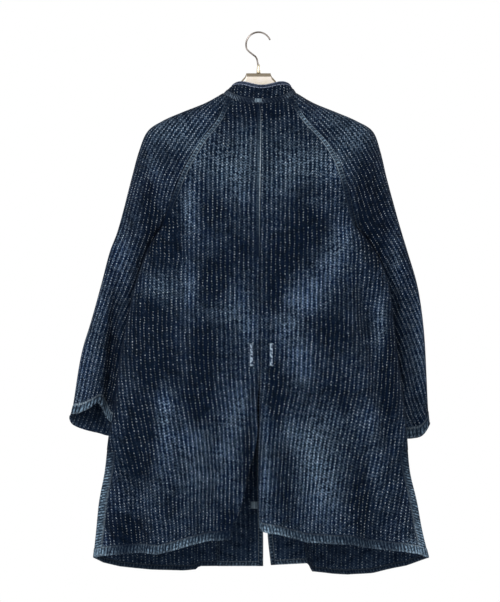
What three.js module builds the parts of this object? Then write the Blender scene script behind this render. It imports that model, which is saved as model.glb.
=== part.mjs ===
// A knee-length raglan coat of heavy stitched cotton, hanging unbuttoned on a plastic hanger.
// Millimetres, +Z up. The coat's front faces -Y and the wearer's left is +X.
// The origin is the underside of the top of the hook, where a rail carries the hanger.
import * as THREE from "three";

// ---------------------------------------------------------------- driving sizes
const WALL = 2.0; // cloth of the panels and sleeves
const COLLAR_WALL = 3.0; // two layers and their turnings
const FACING_WALL = 1.3;
const LOOP_WALL = 1.8;
const SEAM_GAP = 0.3; // between neighbouring pieces
const ARMPIT_Z = -408;
const SIDE_HEM_Z = -1102;
const COAT_X = -3; // the coat's middle hangs this far to the wearer's right of the hook

const RAGLAN_ROWS = 9; // rows of each sheet from the neck to the armpit
const SKIRT_ROWS = 21; // from the armpit to the hem
const SLEEVE_ROWS = 14; // from the armpit to the cuff
const BACK_COLUMNS = 12;
const FRONT_SIDE_COLUMNS = 7; // of a front, between its facing and the side seam
const SLEEVE_COLUMNS = 8;
const COLLAR_COLUMNS = 36;
const COLLAR_ROWS = 3;

// The neck seam and the collar's top edge are ovals in plan that dip at the back and the front.
// The collar leans a little to the wearer's right, and its top stands up at its rounded corners.
const NECK = {
  halfWidth: 77, halfDepth: 60, sideZ: -126, backDrop: 24, frontDrop: 68, cornerRise: 0, lean: 0,
};
const COLLAR_TOP = {
  halfWidth: 57, halfDepth: 49, sideZ: -106, backDrop: 8, frontDrop: 44, cornerRise: 7, lean: -3.5,
};
// Where the raglan seams and the fronts' edges meet the neck, in degrees round it from centre back.
const BACK_SEAM_ANGLE = 60;
const FRONT_SEAM_ANGLE = 124.5;
const FRONT_EDGE_ANGLE = 179.2;
const NECK_REACH = 1.5; // the rows follow the neck's oval down to this far along the seam tables

// How a body panel's cross-section changes from the shoulders' parabola to the skirt's rounder one.
const ROUNDING = { fromRow: 5, toRow: 12, power: 2.2 };
const SEAM_FADE = 8; // power with which folds die away towards a side or raglan seam
const CROWDING = 1.3; // power with which columns crowd towards the side seams

const named = (columns, rows) => rows.map(
  (row) => Object.fromEntries(columns.map((column, i) => [column, row[i]])),
);

// Where the middle of the back and of the front lies, down the coat.
const DEPTH = named(["z", "back", "front"], [
  [-140, 60, -60],
  [-250, 63, -61],
  [-400, 60, -57],
  [-600, 54, -52],
  [-800, 52, -51],
  [-1000, 55, -55],
  [-1130, 58, -59],
]);

// The side seams below the armpits: how far out each lies.
const SIDE = named(["z", "left", "right"], [
  [-408, 207, 203],
  [-440, 228, 230],
  [-477, 244, 252],
  [-530, 262, 271],
  [-600, 278, 280],
  [-690, 295, 291],
  [-790, 307, 304],
  [-850, 318, 309],
  [-920, 326, 315],
  [-985, 338, 330],
  [-1045, 344, 341],
  [-1102, 350, 355],
]);

// The raglan seams, from the neck (0) to the armpit (7), on the back and on the front.
const RAGLAN_COLUMNS = [
  "s", "backLeft", "backRight", "backY", "backZ", "frontLeft", "frontRight", "frontY", "frontZ",
];
const RAGLAN = named(RAGLAN_COLUMNS, [
  [0, 66.7, 66.7, 30, -134.5, 63.5, 63.5, -34, -155],
  [1, 90, 99, 42, -184, 84, 86, -46, -200],
  [2, 123, 138, 46, -226, 112, 116, -50, -245],
  [3, 147, 163, 47, -264, 138, 143, -50, -285],
  [4, 163, 176, 45, -294, 158, 162, -46, -318],
  [5, 181, 188, 38, -337, 176, 178, -38, -352],
  [6, 195, 196, 22, -375, 194, 192, -22, -384],
  [7, 207, 203, 0, -408, 207, 203, 0, -408],
]);

// The underarm seams, from the armpit (7) to the cuff (14). The sleeves hang a little forwards,
// just clear of the fronts.
const UNDERARM = named(["s", "left", "right", "y", "z"], [
  [7, 207, 203, 0, -408],
  [8, 223, 225, -24, -440],
  [9, 234, 240, -42, -480],
  [10, 245, 249, -52, -540],
  [11, 252, 248, -57, -610],
  [12, 258, 246, -60, -690],
  [13, 262, 242, -64, -765],
  [14, 265, 237, -66, -841],
]);

// The over-arm seams, along the shoulders and down the outsides of the sleeves.
const OVER_ARM = named(["s", "left", "right", "y", "z"], [
  [0, 77, 77, 0, -126],
  [1, 115, 113, -1, -147],
  [2, 164, 161, -3, -166.5],
  [3, 204, 202, -6, -184],
  [4, 236, 237, -9, -206],
  [5, 254, 253, -12, -247],
  [6, 270, 267, -16, -305],
  [7, 288, 286, -21, -375],
  [8, 301, 299, -26, -420],
  [9, 317, 312, -32, -462],
  [10, 335, 332, -42, -530],
  [11, 356, 344, -51, -605],
  [12, 382, 351, -58, -690],
  [13, 397, 356, -65, -770],
  [14, 402, 359, -68, -810],
]);

// Bulge is how far a sleeve half stands off the plane between its seams, and closed is how far the
// section has gone from an open shoulder to a tube.
const SLEEVE_SECTION = named(["s", "bulge", "closed"], [
  [0, 0, 0],
  [3, 0, 0],
  [4, 4, 0],
  [5, 10, 0.15],
  [6, 18, 0.45],
  [7, 28, 0.85],
  [8, 34, 1],
  [9, 38, 1],
  [10, 38, 1],
  [12, 33, 1],
  [14, 28, 1],
]);

// The cuff's lower edge across each half, from the underarm seam (0) to the over-arm seam (1).
const CUFF = named(["u", "leftBack", "leftFront", "rightBack", "rightFront"], [
  [0, -841, -841, -850, -850],
  [0.3, -830, -851, -852, -849],
  [0.45, -811, -848, -853, -846],
  [0.53, -777, -843, -853, -844],
  [0.62, -786, -838, -853, -842],
  [0.75, -799, -830, -848, -838],
  [0.88, -801, -821, -832, -829],
  [1, -808, -808, -819, -819],
]);

// The hems. Left is the wearer's left half. The fronts hang lower than the back, and each
// front drops a little more just past its stiff facing.
const BACK_HEM_LEFT = named(["x", "z"], [
  [59, -1061], [71, -1063], [107, -1065], [147, -1075], [189, -1087],
  [216, -1093], [248, -1090], [289, -1093], [335, -1098], [350, SIDE_HEM_Z],
]);
const BACK_HEM_RIGHT = named(["x", "z"], [
  [0, -1036], [5, -1045], [15, -1048], [42, -1052], [71, -1060], [99, -1068],
  [155, -1071], [197, -1073], [225, -1080], [267, -1085], [300, -1088], [335, -1094], [355, SIDE_HEM_Z],
]);
const FRONT_HEM_LEFT = named(["x", "z"], [
  [-7, -1122], [128, -1122], [135, -1129], [162, -1131], [229, -1130],
  [296, -1122], [330, -1113], [350, SIDE_HEM_Z],
]);
const FRONT_HEM_RIGHT = named(["x", "z"], [
  [23, -1120], [101, -1116], [110, -1134], [155, -1139], [185, -1140],
  [239, -1136], [267, -1129], [309, -1120], [335, -1110], [355, SIDE_HEM_Z],
]);

// How far each centre edge has swung to the wearer's left: the back below the vent's top, where
// the left half falls away from the right one, and the two fronts, which hang edge to edge.
const VENT = named(["z", "left", "right"], [
  [-140, -4, -4],
  [-250, -2, -2],
  [-400, 0, 0],
  [-700, 0, 0],
  [-735, 1.5, 0],
  [-771, 5, 1],
  [-855, 7, 3],
  [-918, 21, 3],
  [-1002, 42, 3],
  [-1042, 59, 1],
  [-1067, 59, 0],
]);
const FRONT_EDGE = named(["z", "left", "right"], [
  [-190, 1, -1],
  [-500, 0, -4],
  [-800, -3, -10],
  [-1052, -7, -16],
  [-1121, -7, -23],
]);
const CENTRE_SEAM_END_Z = -778; // the vent's edges lie in one plane down to here

// The fronts' columns: the facing's three, then the edge of the drop past it.
const FACING = { left: 97, right: 80 };
const STEP_START = { left: 137, right: 83 };
const STEP_WIDTH = 8;
const STEP_DEPTH = 9; // how far the cloth past the step stands off in front at the hem
const STEP_TOP_ROW = 19; // the row at which the step starts to form
const FACING_STEPS = 3;
const FACING_SHARE = 0.62; // the most of a front's width that its facing and step take at the neck

// The largest folds: each runs from its top to its bottom point (x towards the wearer's left),
// with the half width of its trough or ridge and how far it stands out (+) or in (-).
const FOLD_COLUMNS = ["topX", "topZ", "bottomX", "bottomZ", "width", "height"];
const BACK_FOLDS = named(FOLD_COLUMNS, [
  [-193, -430, -292, -960, 17, -26],
  [-236, -520, -318, -1180, 26, 9],
  [2, -690, 24, -1010, 15, -13],
  [150, -300, 146, -660, 15, 7],
  [206, -720, 218, -1300, 27, 13],
  [258, -800, 268, -1300, 22, -15],
  [124, -600, 112, -1300, 27, -11],
  [-150, -800, -168, -1300, 34, 12],
  [-66, -690, -84, -1300, 22, -9],
  [-232, -900, -246, -1300, 20, -12],
  [172, -400, 150, -640, 20, -9],
]);
const FRONT_FOLDS = named(FOLD_COLUMNS, [
  [196, -470, 236, -1300, 24, 12],
  [132, -620, 168, -1300, 24, -12],
  [-118, -560, -146, -1300, 28, 11],
  [-196, -520, -232, -1300, 26, -13],
  [88, -330, 60, -760, 22, 6],
  [-96, -330, -62, -720, 20, -6],
]);
const SLEEVE_FOLDS = {
  left: named(FOLD_COLUMNS, [
    [300, -480, 333, -960, 9, -20],
    [286, -330, 300, -640, 14, -8],
  ]),
  right: named(FOLD_COLUMNS, [
    [-262, -330, -288, -620, 13, -11],
    [-322, -560, -330, -900, 13, -9],
  ]),
};

// Belt loops either side of the centre-back seam.
const LOOP = { width: 8.5, length: 48, topZ: -651, arch: 2.2, archPower: 0.7, clear: 0.5, rows: 8 };
const LOOP_X = { left: 18, right: -24 };

// Buttons on the wearer's right front.
const BUTTON = {
  radius: 10, height: 3.2, rim: 1.6, inset: 21, clear: 0.6, count: 6, topZ: -253, pitch: 148,
};

// The hanger. Its arms carry the shoulders along the over-arm seams.
const HANGER = {
  reach: 216,
  armStart: 90,
  seatGap: 0.35,
  neckHalfThick: 6,
  armHalfThick: 17,
  tipHalfThick: 10,
  neckHeight: 62,
  armHeight: 40,
  tipHeight: 20,
  crown: 2.5, // how far the arms' edges drop below the middle of their tops
};
const HANGER_NECK = named(["x", "top"], [
  [0, -84.5], [26, -84.5], [27.5, -91], [36, -100], [46, -118], [58, -131], [70, -136.5],
]);
// The hanger's section: across is in half thicknesses, drop in heights below its top.
const HANGER_SECTION = named(["across", "drop"], [
  [0, 0], [0.6, 0.04], [1, 0.25], [1, 0.75], [0.6, 1], [-0.6, 1], [-1, 0.75], [-1, 0.25], [-0.6, 0.04],
]);
const FERRULE = { radius: 4.2, topZ: -68.5, bottomZ: -84.2, clear: 0.2 };

// The hook runs from its stem through a bend into a round arc, measured in degrees from +X.
const HOOK = { wire: 3.3, innerRadius: 24.5, startAngle: -32, tipAngle: 158, angleStep: 12, steps: 46 };
const HOOK_STEM = named(["x", "z"], [
  [0, FERRULE.topZ + FERRULE.clear], [0.6, -62], [3, -54.5], [8.5, -47.5], [16, -42.5],
]);

// ---------------------------------------------------------------- curves and tables
const mix = (a, b, f) => a + (b - a) * f;
const clamp = (v, low, high) => Math.min(Math.max(v, low), high);
const radians = THREE.MathUtils.degToRad;

function ease(low, high, v) {
  const f = clamp((v - low) / (high - low), 0, 1);
  return f * f * (3 - 2 * f);
}

// The table's interval that holds `at`, and how far along it `at` lies.
function interval(table, key, at) {
  const rising = table[1][key] > table[0][key];
  let i = 0;
  while (i < table.length - 2 && (rising ? at > table[i + 1][key] : at < table[i + 1][key])) {
    i += 1;
  }
  return [i, clamp((at - table[i][key]) / (table[i + 1][key] - table[i][key]), 0, 1)];
}

// Straight lines between a column's values.
function straight(table, key, column, at) {
  const [i, f] = interval(table, key, at);
  return mix(table[i][column], table[i + 1][column], f);
}

// A smooth curve through a column's values, whose slope at each is that of the line through its
// two neighbours.
function smooth(table, key, column, at) {
  const [i, f] = interval(table, key, at);
  const slope = (k) => {
    const a = table[Math.max(k - 1, 0)];
    const b = table[Math.min(k + 1, table.length - 1)];
    return (b[column] - a[column]) / (b[key] - a[key]);
  };
  const span = table[i + 1][key] - table[i][key];
  const f2 = f * f;
  const f3 = f2 * f;
  return (2 * f3 - 3 * f2 + 1) * table[i][column] + (3 * f2 - 2 * f3) * table[i + 1][column] +
    (f3 - 2 * f2 + f) * span * slope(i) + (f3 - f2) * span * slope(i + 1);
}

// A point on an oval edge of the neck, `angle` degrees round from centre back.
function ovalPoint(oval, angle) {
  const c = Math.cos(radians(angle));
  const s = Math.sin(radians(angle));
  const dip = (c > 0 ? oval.backDrop : oval.frontDrop) * Math.abs(c) ** 1.5;
  const rise = oval.cornerRise * (2 * s * c) ** 2;
  return new THREE.Vector3(oval.halfWidth * s + oval.lean, oval.halfDepth * c, oval.sideZ - dip + rise);
}

// How far the folds push a point out: each is a soft bell across, faded in and out along its length.
function foldHeight(folds, x, z) {
  let height = 0;
  for (const fold of folds) {
    const along = (z - fold.topZ) / (fold.bottomZ - fold.topZ);
    const across = (x - mix(fold.topX, fold.bottomX, along)) / fold.width;
    height += fold.height * Math.exp(-across * across) * ease(0, 0.35, along) * (1 - ease(0.75, 1, along));
  }
  return height;
}

// ---------------------------------------------------------------- cloth as walled sheets
// A grid of outer points, its outward normals and, once built, a closed wall.
class Sheet {
  constructor(rows, columns, pointAt, outward) {
    this.rows = rows;
    this.columns = columns;
    this.points = [];
    for (let i = 0; i <= rows; i += 1) {
      for (let j = 0; j <= columns; j += 1) {
        this.points.push(pointAt(i, j));
      }
    }
    this.normals = this.points.map((_, index) => this.normalAt(index, outward));
  }

  index(i, j) {
    return i * (this.columns + 1) + j;
  }

  // Across the neighbours along the row and the column, turned to the side of `outward`.
  normalAt(index, outward) {
    const i = Math.floor(index / (this.columns + 1));
    const j = index % (this.columns + 1);
    const at = (a, b) => this.points[this.index(clamp(a, 0, this.rows), clamp(b, 0, this.columns))];
    const down = at(i + 1, j).clone().sub(at(i - 1, j));
    const across = at(i, j + 1).clone().sub(at(i, j - 1));
    const normal = down.cross(across).normalize();
    return normal.dot(outward(at(i, j), i)) < 0 ? normal.negate() : normal;
  }

  // The closed wall: outer points, the same points moved in by `thick`, and a rim round the edge.
  // Each edge is drawn in by half the seam gap, so that neighbours stand that gap apart.
  wall(thick, inset = 0) {
    const count = this.points.length;
    const vertices = new Float32Array(count * 6);
    for (let i = 0; i <= this.rows; i += 1) {
      for (let j = 0; j <= this.columns; j += 1) {
        const index = this.index(i, j);
        const point = this.points[index].clone();
        if (i === 0 || i === this.rows) {
          this.drawIn(point, index, this.index(i === 0 ? 1 : i - 1, j));
        }
        if (j === 0 || j === this.columns) {
          this.drawIn(point, index, this.index(i, j === 0 ? 1 : j - 1));
        }
        const outer = point.clone().addScaledVector(this.normals[index], -inset);
        const inner = point.clone().addScaledVector(this.normals[index], -inset - thick);
        outer.toArray(vertices, index * 3);
        inner.toArray(vertices, (count + index) * 3);
      }
    }
    const faces = [];
    const quad = (a, b, c, d) => faces.push(a, b, c, a, c, d);
    for (let i = 0; i < this.rows; i += 1) {
      for (let j = 0; j < this.columns; j += 1) {
        const [a, b] = [this.index(i, j), this.index(i, j + 1)];
        const [c, d] = [this.index(i + 1, j + 1), this.index(i + 1, j)];
        quad(a, d, c, b);
        quad(count + a, count + b, count + c, count + d);
      }
    }
    const edge = this.edgeLoop();
    edge.forEach((a, k) => {
      const b = edge[(k + 1) % edge.length];
      if (a < b) {
        quad(a, b, count + b, count + a);
      } else {
        quad(b, count + b, count + a, a);
      }
    });
    return closedGeometry(vertices, faces);
  }

  drawIn(point, index, inward) {
    const step = this.points[inward].clone().sub(this.points[index]).setLength(SEAM_GAP / 2);
    point.add(step);
  }

  // The grid's edge, once round.
  edgeLoop() {
    const { rows, columns } = this;
    const count = (n) => Array.from({ length: n }, (_, k) => k);
    return [
      ...count(columns).map((k) => this.index(0, k)),
      ...count(rows).map((k) => this.index(k, columns)),
      ...count(columns).map((k) => this.index(rows, columns - k)),
      ...count(rows).map((k) => this.index(rows - k, 0)),
    ];
  }

  // The outer surface's Y at a given x and z, from the triangle that holds them.
  depthAt(x, z) {
    const target = new THREE.Vector2(x, z);
    const flat = (p) => new THREE.Vector2(p.x, p.z);
    for (let i = 0; i < this.rows; i += 1) {
      for (let j = 0; j < this.columns; j += 1) {
        const [a, b] = [this.points[this.index(i, j)], this.points[this.index(i, j + 1)]];
        const [c, d] = [this.points[this.index(i + 1, j + 1)], this.points[this.index(i + 1, j)]];
        for (const [p, q, r] of [[a, d, c], [a, c, b]]) {
          const weights = barycentric(target, flat(p), flat(q), flat(r));
          if (Math.min(...weights) >= -1e-6) {
            return weights[0] * p.y + weights[1] * q.y + weights[2] * r.y;
          }
        }
      }
    }
    throw new Error(`no cloth at ${x}, ${z}`);
  }
}

function barycentric(t, p, q, r) {
  const area = (q.x - p.x) * (r.y - p.y) - (r.x - p.x) * (q.y - p.y);
  const u = ((q.x - t.x) * (r.y - t.y) - (r.x - t.x) * (q.y - t.y)) / area;
  const v = ((r.x - t.x) * (p.y - t.y) - (p.x - t.x) * (r.y - t.y)) / area;
  return [u, v, 1 - u - v];
}

// A closed indexed mesh with its faces turned outwards.
function closedGeometry(vertices, faces) {
  const at = (index) => new THREE.Vector3().fromArray(vertices, index * 3);
  let volume = 0;
  for (let f = 0; f < faces.length; f += 3) {
    volume += at(faces[f]).dot(at(faces[f + 1]).cross(at(faces[f + 2])));
  }
  if (volume < 0) {
    for (let f = 0; f < faces.length; f += 3) {
      [faces[f + 1], faces[f + 2]] = [faces[f + 2], faces[f + 1]];
    }
  }
  const geometry = new THREE.BufferGeometry();
  geometry.setAttribute("position", new THREE.BufferAttribute(vertices, 3));
  geometry.setIndex(faces);
  return geometry;
}

// Gives two neighbouring sheets the same normals along a common seam, so that their walls meet squarely.
function joinNormals(first, firstIndices, second, secondIndices) {
  firstIndices.forEach((a, k) => {
    const b = secondIndices[k];
    const shared = first.normals[a].clone().add(second.normals[b]).normalize();
    first.normals[a].copy(shared);
    second.normals[b].copy(shared);
  });
}

const columnOf = (sheet, j, from, to) => {
  const indices = [];
  for (let i = from; i <= to; i += 1) {
    indices.push(sheet.index(i, j));
  }
  return indices;
};

// ---------------------------------------------------------------- sides and faces
const LEFT = { name: "left", title: "Left", sign: 1 };
const RIGHT = { name: "right", title: "Right", sign: -1 };
// Fullness is the share of the sleeve's bulge on that face.
const BACK = {
  name: "back", title: "Back", sign: 1, fullness: 0.8, middleAngle: 0, seamAngle: BACK_SEAM_ANGLE,
};
const FRONT = {
  name: "front",
  title: "Front",
  sign: -1,
  fullness: 1.1,
  middleAngle: FRONT_EDGE_ANGLE,
  seamAngle: FRONT_SEAM_ANGLE,
};

// ---------------------------------------------------------------- the sleeves' seams and surface
const ARMPIT_S = 7;
const CUFF_S = 14;
const sleeveRowS = (row) => row <= RAGLAN_ROWS
  ? (ARMPIT_S * row) / RAGLAN_ROWS
  : ARMPIT_S + ((CUFF_S - ARMPIT_S) * (row - RAGLAN_ROWS)) / SLEEVE_ROWS;

function seamPoint(table, side, s) {
  const x = smooth(table, "s", side.name, s);
  return new THREE.Vector3(side.sign * x, smooth(table, "s", "y", s), smooth(table, "s", "z", s));
}

// The raglan seam and then the underarm seam, on the back or the front.
function innerSeam(side, face, s) {
  if (s >= ARMPIT_S) {
    return seamPoint(UNDERARM, side, s);
  }
  const value = (column) => smooth(RAGLAN, "s", face.name + column, s);
  return new THREE.Vector3(side.sign * value(side.title), value("Y"), value("Z"));
}

const overArm = (side, s) => seamPoint(OVER_ARM, side, s);

// Rows near the neck follow the neck seam: the first row lies on the oval, and the rows below it
// are moved by less and less of the same amount.
function towardsNeck(point, firstRow, side, angle, s) {
  const neck = ovalPoint(NECK, angle);
  neck.x *= side.sign;
  return point.addScaledVector(neck.sub(firstRow), (1 - Math.min(s / NECK_REACH, 1)) ** 2);
}

// A point of a sleeve half, u from the inner seam (0) to the over-arm seam (1). Over the shoulder
// the section is a quarter of an oval, and past the armpit it closes to half an oval.
function sleeveSection(side, face, s, u) {
  const inner = innerSeam(side, face, s);
  const outer = overArm(side, s);
  const quarter = new THREE.Vector3(
    mix(inner.x, outer.x, Math.sin((u * Math.PI) / 2)),
    mix(outer.y, inner.y, Math.cos((u * Math.PI) / 2)),
    mix(inner.z, outer.z, Math.sin((u * Math.PI) / 2)),
  );
  const half = inner.clone().lerp(outer, (1 - Math.cos(u * Math.PI)) / 2);
  const point = quarter.lerp(half, straight(SLEEVE_SECTION, "s", "closed", s));
  point.y += face.sign * face.fullness * smooth(SLEEVE_SECTION, "s", "bulge", s) * Math.sin(u * Math.PI);
  return point;
}

function sleevePoint(side, face, s, u) {
  const point = sleeveSection(side, face, s, u);
  towardsNeck(point, sleeveSection(side, face, 0, u), side, mix(face.seamAngle, 90, u), s);
  const cuff = smooth(CUFF, "u", side.name + face.title, u);
  point.z = mix(point.z, cuff, ease(11.5, CUFF_S, s));
  if (face.sign > 0) {
    point.y += foldHeight(SLEEVE_FOLDS[side.name], point.x, point.z) * Math.sin(u * Math.PI);
  }
  return point;
}

// ---------------------------------------------------------------- the body's surface
const BODY_ROWS = RAGLAN_ROWS + SKIRT_ROWS;

// The body's outer edge: the raglan seam down to the armpit, then the side seam.
function sideEdge(side, face, row) {
  if (row <= RAGLAN_ROWS) {
    return innerSeam(side, face, sleeveRowS(row));
  }
  const z = mix(ARMPIT_Z, SIDE_HEM_Z, (row - RAGLAN_ROWS) / SKIRT_ROWS);
  return new THREE.Vector3(side.sign * smooth(SIDE, "z", side.name, z), 0, z);
}

// A body panel's point, `share` of the way from its centre edge (0) to its outer edge (1).
function bodySection(panel, row, share, standOff) {
  const { side, face, centre, hem, folds } = panel;
  const edge = sideEdge(side, face, row);
  const down = clamp((row - RAGLAN_ROWS) / SKIRT_ROWS, 0, 1);
  const hemCentreX = centre[centre.length - 1][side.name];
  const hemX = Math.abs(mix(hemCentreX, side.sign * SIDE[SIDE.length - 1][side.name], share));
  const neckZ = ovalPoint(NECK, face.sign > 0 ? 0 : 180).z;
  const startZ = mix(neckZ, ARMPIT_Z, Math.min(row / RAGLAN_ROWS, 1));
  const centreZ = mix(startZ, hem[0].z, down);
  const centreX = smooth(centre, "z", side.name, centreZ);
  const z = down > 0
    ? mix(ARMPIT_Z, straight(hem, "x", "z", hemX), down)
    : mix(centreZ, edge.z, share);
  const x = mix(centreX, edge.x, share);
  const round = Math.sqrt(Math.max(1 - share ** ROUNDING.power, 0));
  const profile = mix(1 - share ** 2, round, ease(ROUNDING.fromRow, ROUNDING.toRow, row));
  const middle = smooth(DEPTH, "z", face.name, z);
  const fade = 1 - share ** SEAM_FADE;
  const y = mix(edge.y, middle, profile) + face.sign * fade * (foldHeight(folds, x, z) + standOff);
  return new THREE.Vector3(x, y, z);
}

function bodyPoint(panel, row, share, standOff) {
  const point = bodySection(panel, row, share, standOff);
  const angle = mix(panel.face.middleAngle, panel.face.seamAngle, share);
  return towardsNeck(point, bodySection(panel, 0, share, 0), panel.side, angle, sleeveRowS(row));
}

// A direction that leaves the body at a point: outwards across, and upwards near the shoulders.
const SHOULDER_Z = -260;
const fromAxis = (p) => new THREE.Vector3(p.x * 0.15, p.y, Math.max(0, (p.z - SHOULDER_Z) * 0.2));

function backSheet(side) {
  const hem = side.sign > 0 ? BACK_HEM_LEFT : BACK_HEM_RIGHT;
  const panel = { side, face: BACK, centre: VENT, hem, folds: BACK_FOLDS };
  const share = (j) => 1 - (1 - j / BACK_COLUMNS) ** CROWDING;
  return new Sheet(BODY_ROWS, BACK_COLUMNS, (i, j) => bodyPoint(panel, i, share(j), 0), fromAxis);
}

// A front's columns: three across the facing, one at each side of the step, the rest to the seam.
function frontShare(side, width, j) {
  const scale = Math.min(1, (FACING_SHARE * width) / STEP_START[side.name]) / width;
  const stepStart = STEP_START[side.name] * scale;
  if (j <= FACING_STEPS) {
    return (FACING[side.name] * scale * j) / FACING_STEPS;
  }
  if (j === FACING_STEPS + 1) {
    return stepStart;
  }
  const past = (j - FACING_STEPS - 2) / FRONT_SIDE_COLUMNS;
  return mix(stepStart + STEP_WIDTH * scale, 1, 1 - (1 - past) ** CROWDING);
}

function frontSheet(side) {
  const hem = side.sign > 0 ? FRONT_HEM_LEFT : FRONT_HEM_RIGHT;
  const panel = { side, face: FRONT, centre: FRONT_EDGE, hem, folds: FRONT_FOLDS };
  const pointAt = (i, j) => {
    const edge = sideEdge(side, FRONT, i);
    const width = Math.abs(edge.x - smooth(FRONT_EDGE, "z", side.name, edge.z));
    const step = j >= FACING_STEPS + 2 ? STEP_DEPTH * ease(STEP_TOP_ROW, BODY_ROWS, i) : 0;
    return bodyPoint(panel, i, frontShare(side, width, j), step);
  };
  return new Sheet(BODY_ROWS, FACING_STEPS + 2 + FRONT_SIDE_COLUMNS, pointAt, fromAxis);
}

function sleeveSheet(side, face) {
  const outward = (p, i) => {
    const s = sleeveRowS(i);
    const inner = innerSeam(side, BACK, s).lerp(innerSeam(side, FRONT, s), 0.5);
    return p.clone().sub(inner.lerp(overArm(side, s), 0.5));
  };
  return new Sheet(
    RAGLAN_ROWS + SLEEVE_ROWS,
    SLEEVE_COLUMNS,
    (i, j) => sleevePoint(side, face, sleeveRowS(i), j / SLEEVE_COLUMNS),
    outward,
  );
}

// ---------------------------------------------------------------- pieces
function collarSheet() {
  const pointAt = (i, j) => {
    const angle = mix(-FRONT_EDGE_ANGLE, FRONT_EDGE_ANGLE, j / COLLAR_COLUMNS);
    const base = ovalPoint(NECK, angle);
    base.z += 2 * SEAM_GAP;
    return base.lerp(ovalPoint(COLLAR_TOP, angle), i / COLLAR_ROWS);
  };
  return new Sheet(COLLAR_ROWS, COLLAR_COLUMNS, pointAt, (p) => new THREE.Vector3(p.x, p.y, 0));
}

// A belt loop lies on its back panel, tacked at both ends and standing off a little between them.
function loopGeometry(back, x) {
  const pointAt = (i, j) => {
    const along = i / LOOP.rows;
    const px = x + (j - 0.5) * LOOP.width;
    const pz = LOOP.topZ - along * LOOP.length;
    const arch = LOOP.arch * Math.sin(along * Math.PI) ** LOOP.archPower;
    return new THREE.Vector3(px, back.depthAt(px, pz) + LOOP.clear + LOOP_WALL + arch, pz);
  };
  return new Sheet(LOOP.rows, 1, pointAt, () => new THREE.Vector3(0, 1, 0)).wall(LOOP_WALL);
}

// A turned disc with a rounded edge and a rim round its dished face.
function buttonGeometry() {
  const { radius, height, rim } = BUTTON;
  const dish = height * 0.7;
  const profile = [
    [0, 0], [radius * 0.9, 0], [radius, height * 0.4], [radius * 0.93, height],
    [radius - rim, height], [radius - 1.5 * rim, dish], [0, dish],
  ];
  return new THREE.LatheGeometry(profile.map(([r, y]) => new THREE.Vector2(r, y)), 18);
}

// Seats a button on a front: its flat base lies on the cloth, its axis along the cloth's normal.
function placeButton(mesh, front, x, z) {
  const reach = BUTTON.radius * 0.8;
  const at = (px, pz) => new THREE.Vector3(px, front.depthAt(px, pz), pz);
  const across = at(x + reach, z).sub(at(x - reach, z));
  const up = at(x, z + reach).sub(at(x, z - reach));
  const normal = across.cross(up).normalize();
  mesh.quaternion.setFromUnitVectors(new THREE.Vector3(0, 1, 0), normal);
  mesh.position.copy(at(x, z).addScaledVector(normal, BUTTON.clear));
}

// The hanger's body is lofted from many-sided sections along its length. Its arms' tops follow the
// inside of the over-arm seams, point for point, and its neck rises inside the collar.
function hangerGeometry(seats) {
  const neck = HANGER_NECK.map((row) => ({ x: row.x, y: 0, top: row.top }));
  const mirrored = neck.slice(1).map((station) => ({ ...station, x: -station.x }));
  const arms = seats.filter(({ x }) => Math.abs(x) > HANGER.armStart && Math.abs(x) < HANGER.reach);
  const stations = [...neck, ...mirrored, ...arms].sort((a, b) => a.x - b.x);
  const vertices = [];
  stations.forEach(({ x, y, top }) => {
    const out = Math.abs(x) / HANGER.reach;
    const asArm = ease(HANGER.armStart - 10, HANGER.armStart + 25, Math.abs(x));
    const height = mix(HANGER.neckHeight, mix(HANGER.armHeight, HANGER.tipHeight, out), asArm);
    const half = mix(HANGER.neckHalfThick, mix(HANGER.armHalfThick, HANGER.tipHalfThick, out), asArm);
    HANGER_SECTION.forEach(({ across, drop }) => {
      const crown = Math.abs(across) * asArm * HANGER.crown;
      vertices.push(x, y + across * half, top - drop * height - crown);
    });
  });
  const sides = HANGER_SECTION.length;
  const faces = [];
  for (let k = 0; k < stations.length - 1; k += 1) {
    for (let r = 0; r < sides; r += 1) {
      const [a, b] = [k * sides + r, k * sides + ((r + 1) % sides)];
      faces.push(a, b, b + sides, a, b + sides, a + sides);
    }
  }
  const end = (stations.length - 1) * sides;
  for (let r = 1; r < sides - 1; r += 1) {
    faces.push(0, r + 1, r, end, end + r, end + r + 1);
  }
  return closedGeometry(new Float32Array(vertices), faces);
}

// The hook's wire, swept along its stem and then round the arc that a rail fits.
function hookGeometry() {
  const radius = HOOK.innerRadius + HOOK.wire / 2;
  const route = HOOK_STEM.map(({ x, z }) => new THREE.Vector3(x, 0, z));
  for (let angle = HOOK.startAngle; angle <= HOOK.tipAngle; angle += HOOK.angleStep) {
    const turn = radians(angle);
    route.push(new THREE.Vector3(radius * Math.cos(turn), 0, radius * Math.sin(turn) - HOOK.innerRadius));
  }
  const wire = new THREE.Shape().absarc(0, 0, HOOK.wire / 2, 0, Math.PI * 2);
  return new THREE.ExtrudeGeometry(wire, {
    extrudePath: new THREE.CatmullRomCurve3(route),
    steps: HOOK.steps,
    curveSegments: 4,
  });
}

// ---------------------------------------------------------------- materials
const cloth = () => new THREE.MeshStandardMaterial({ color: 0x2c3b4e, roughness: 0.95, metalness: 0 });
const cream = () => new THREE.MeshStandardMaterial({ color: 0xc2b6a6, roughness: 0.45, metalness: 0 });
const dark = () => new THREE.MeshStandardMaterial({ color: 0x20242c, roughness: 0.4, metalness: 0 });
const plated = () => new THREE.MeshStandardMaterial({ color: 0xb9b9b6, roughness: 0.25, metalness: 1 });

// ---------------------------------------------------------------- assembly
const part = new THREE.Group();
const coat = new THREE.Group();
coat.position.x = COAT_X;
part.add(coat);

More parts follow.
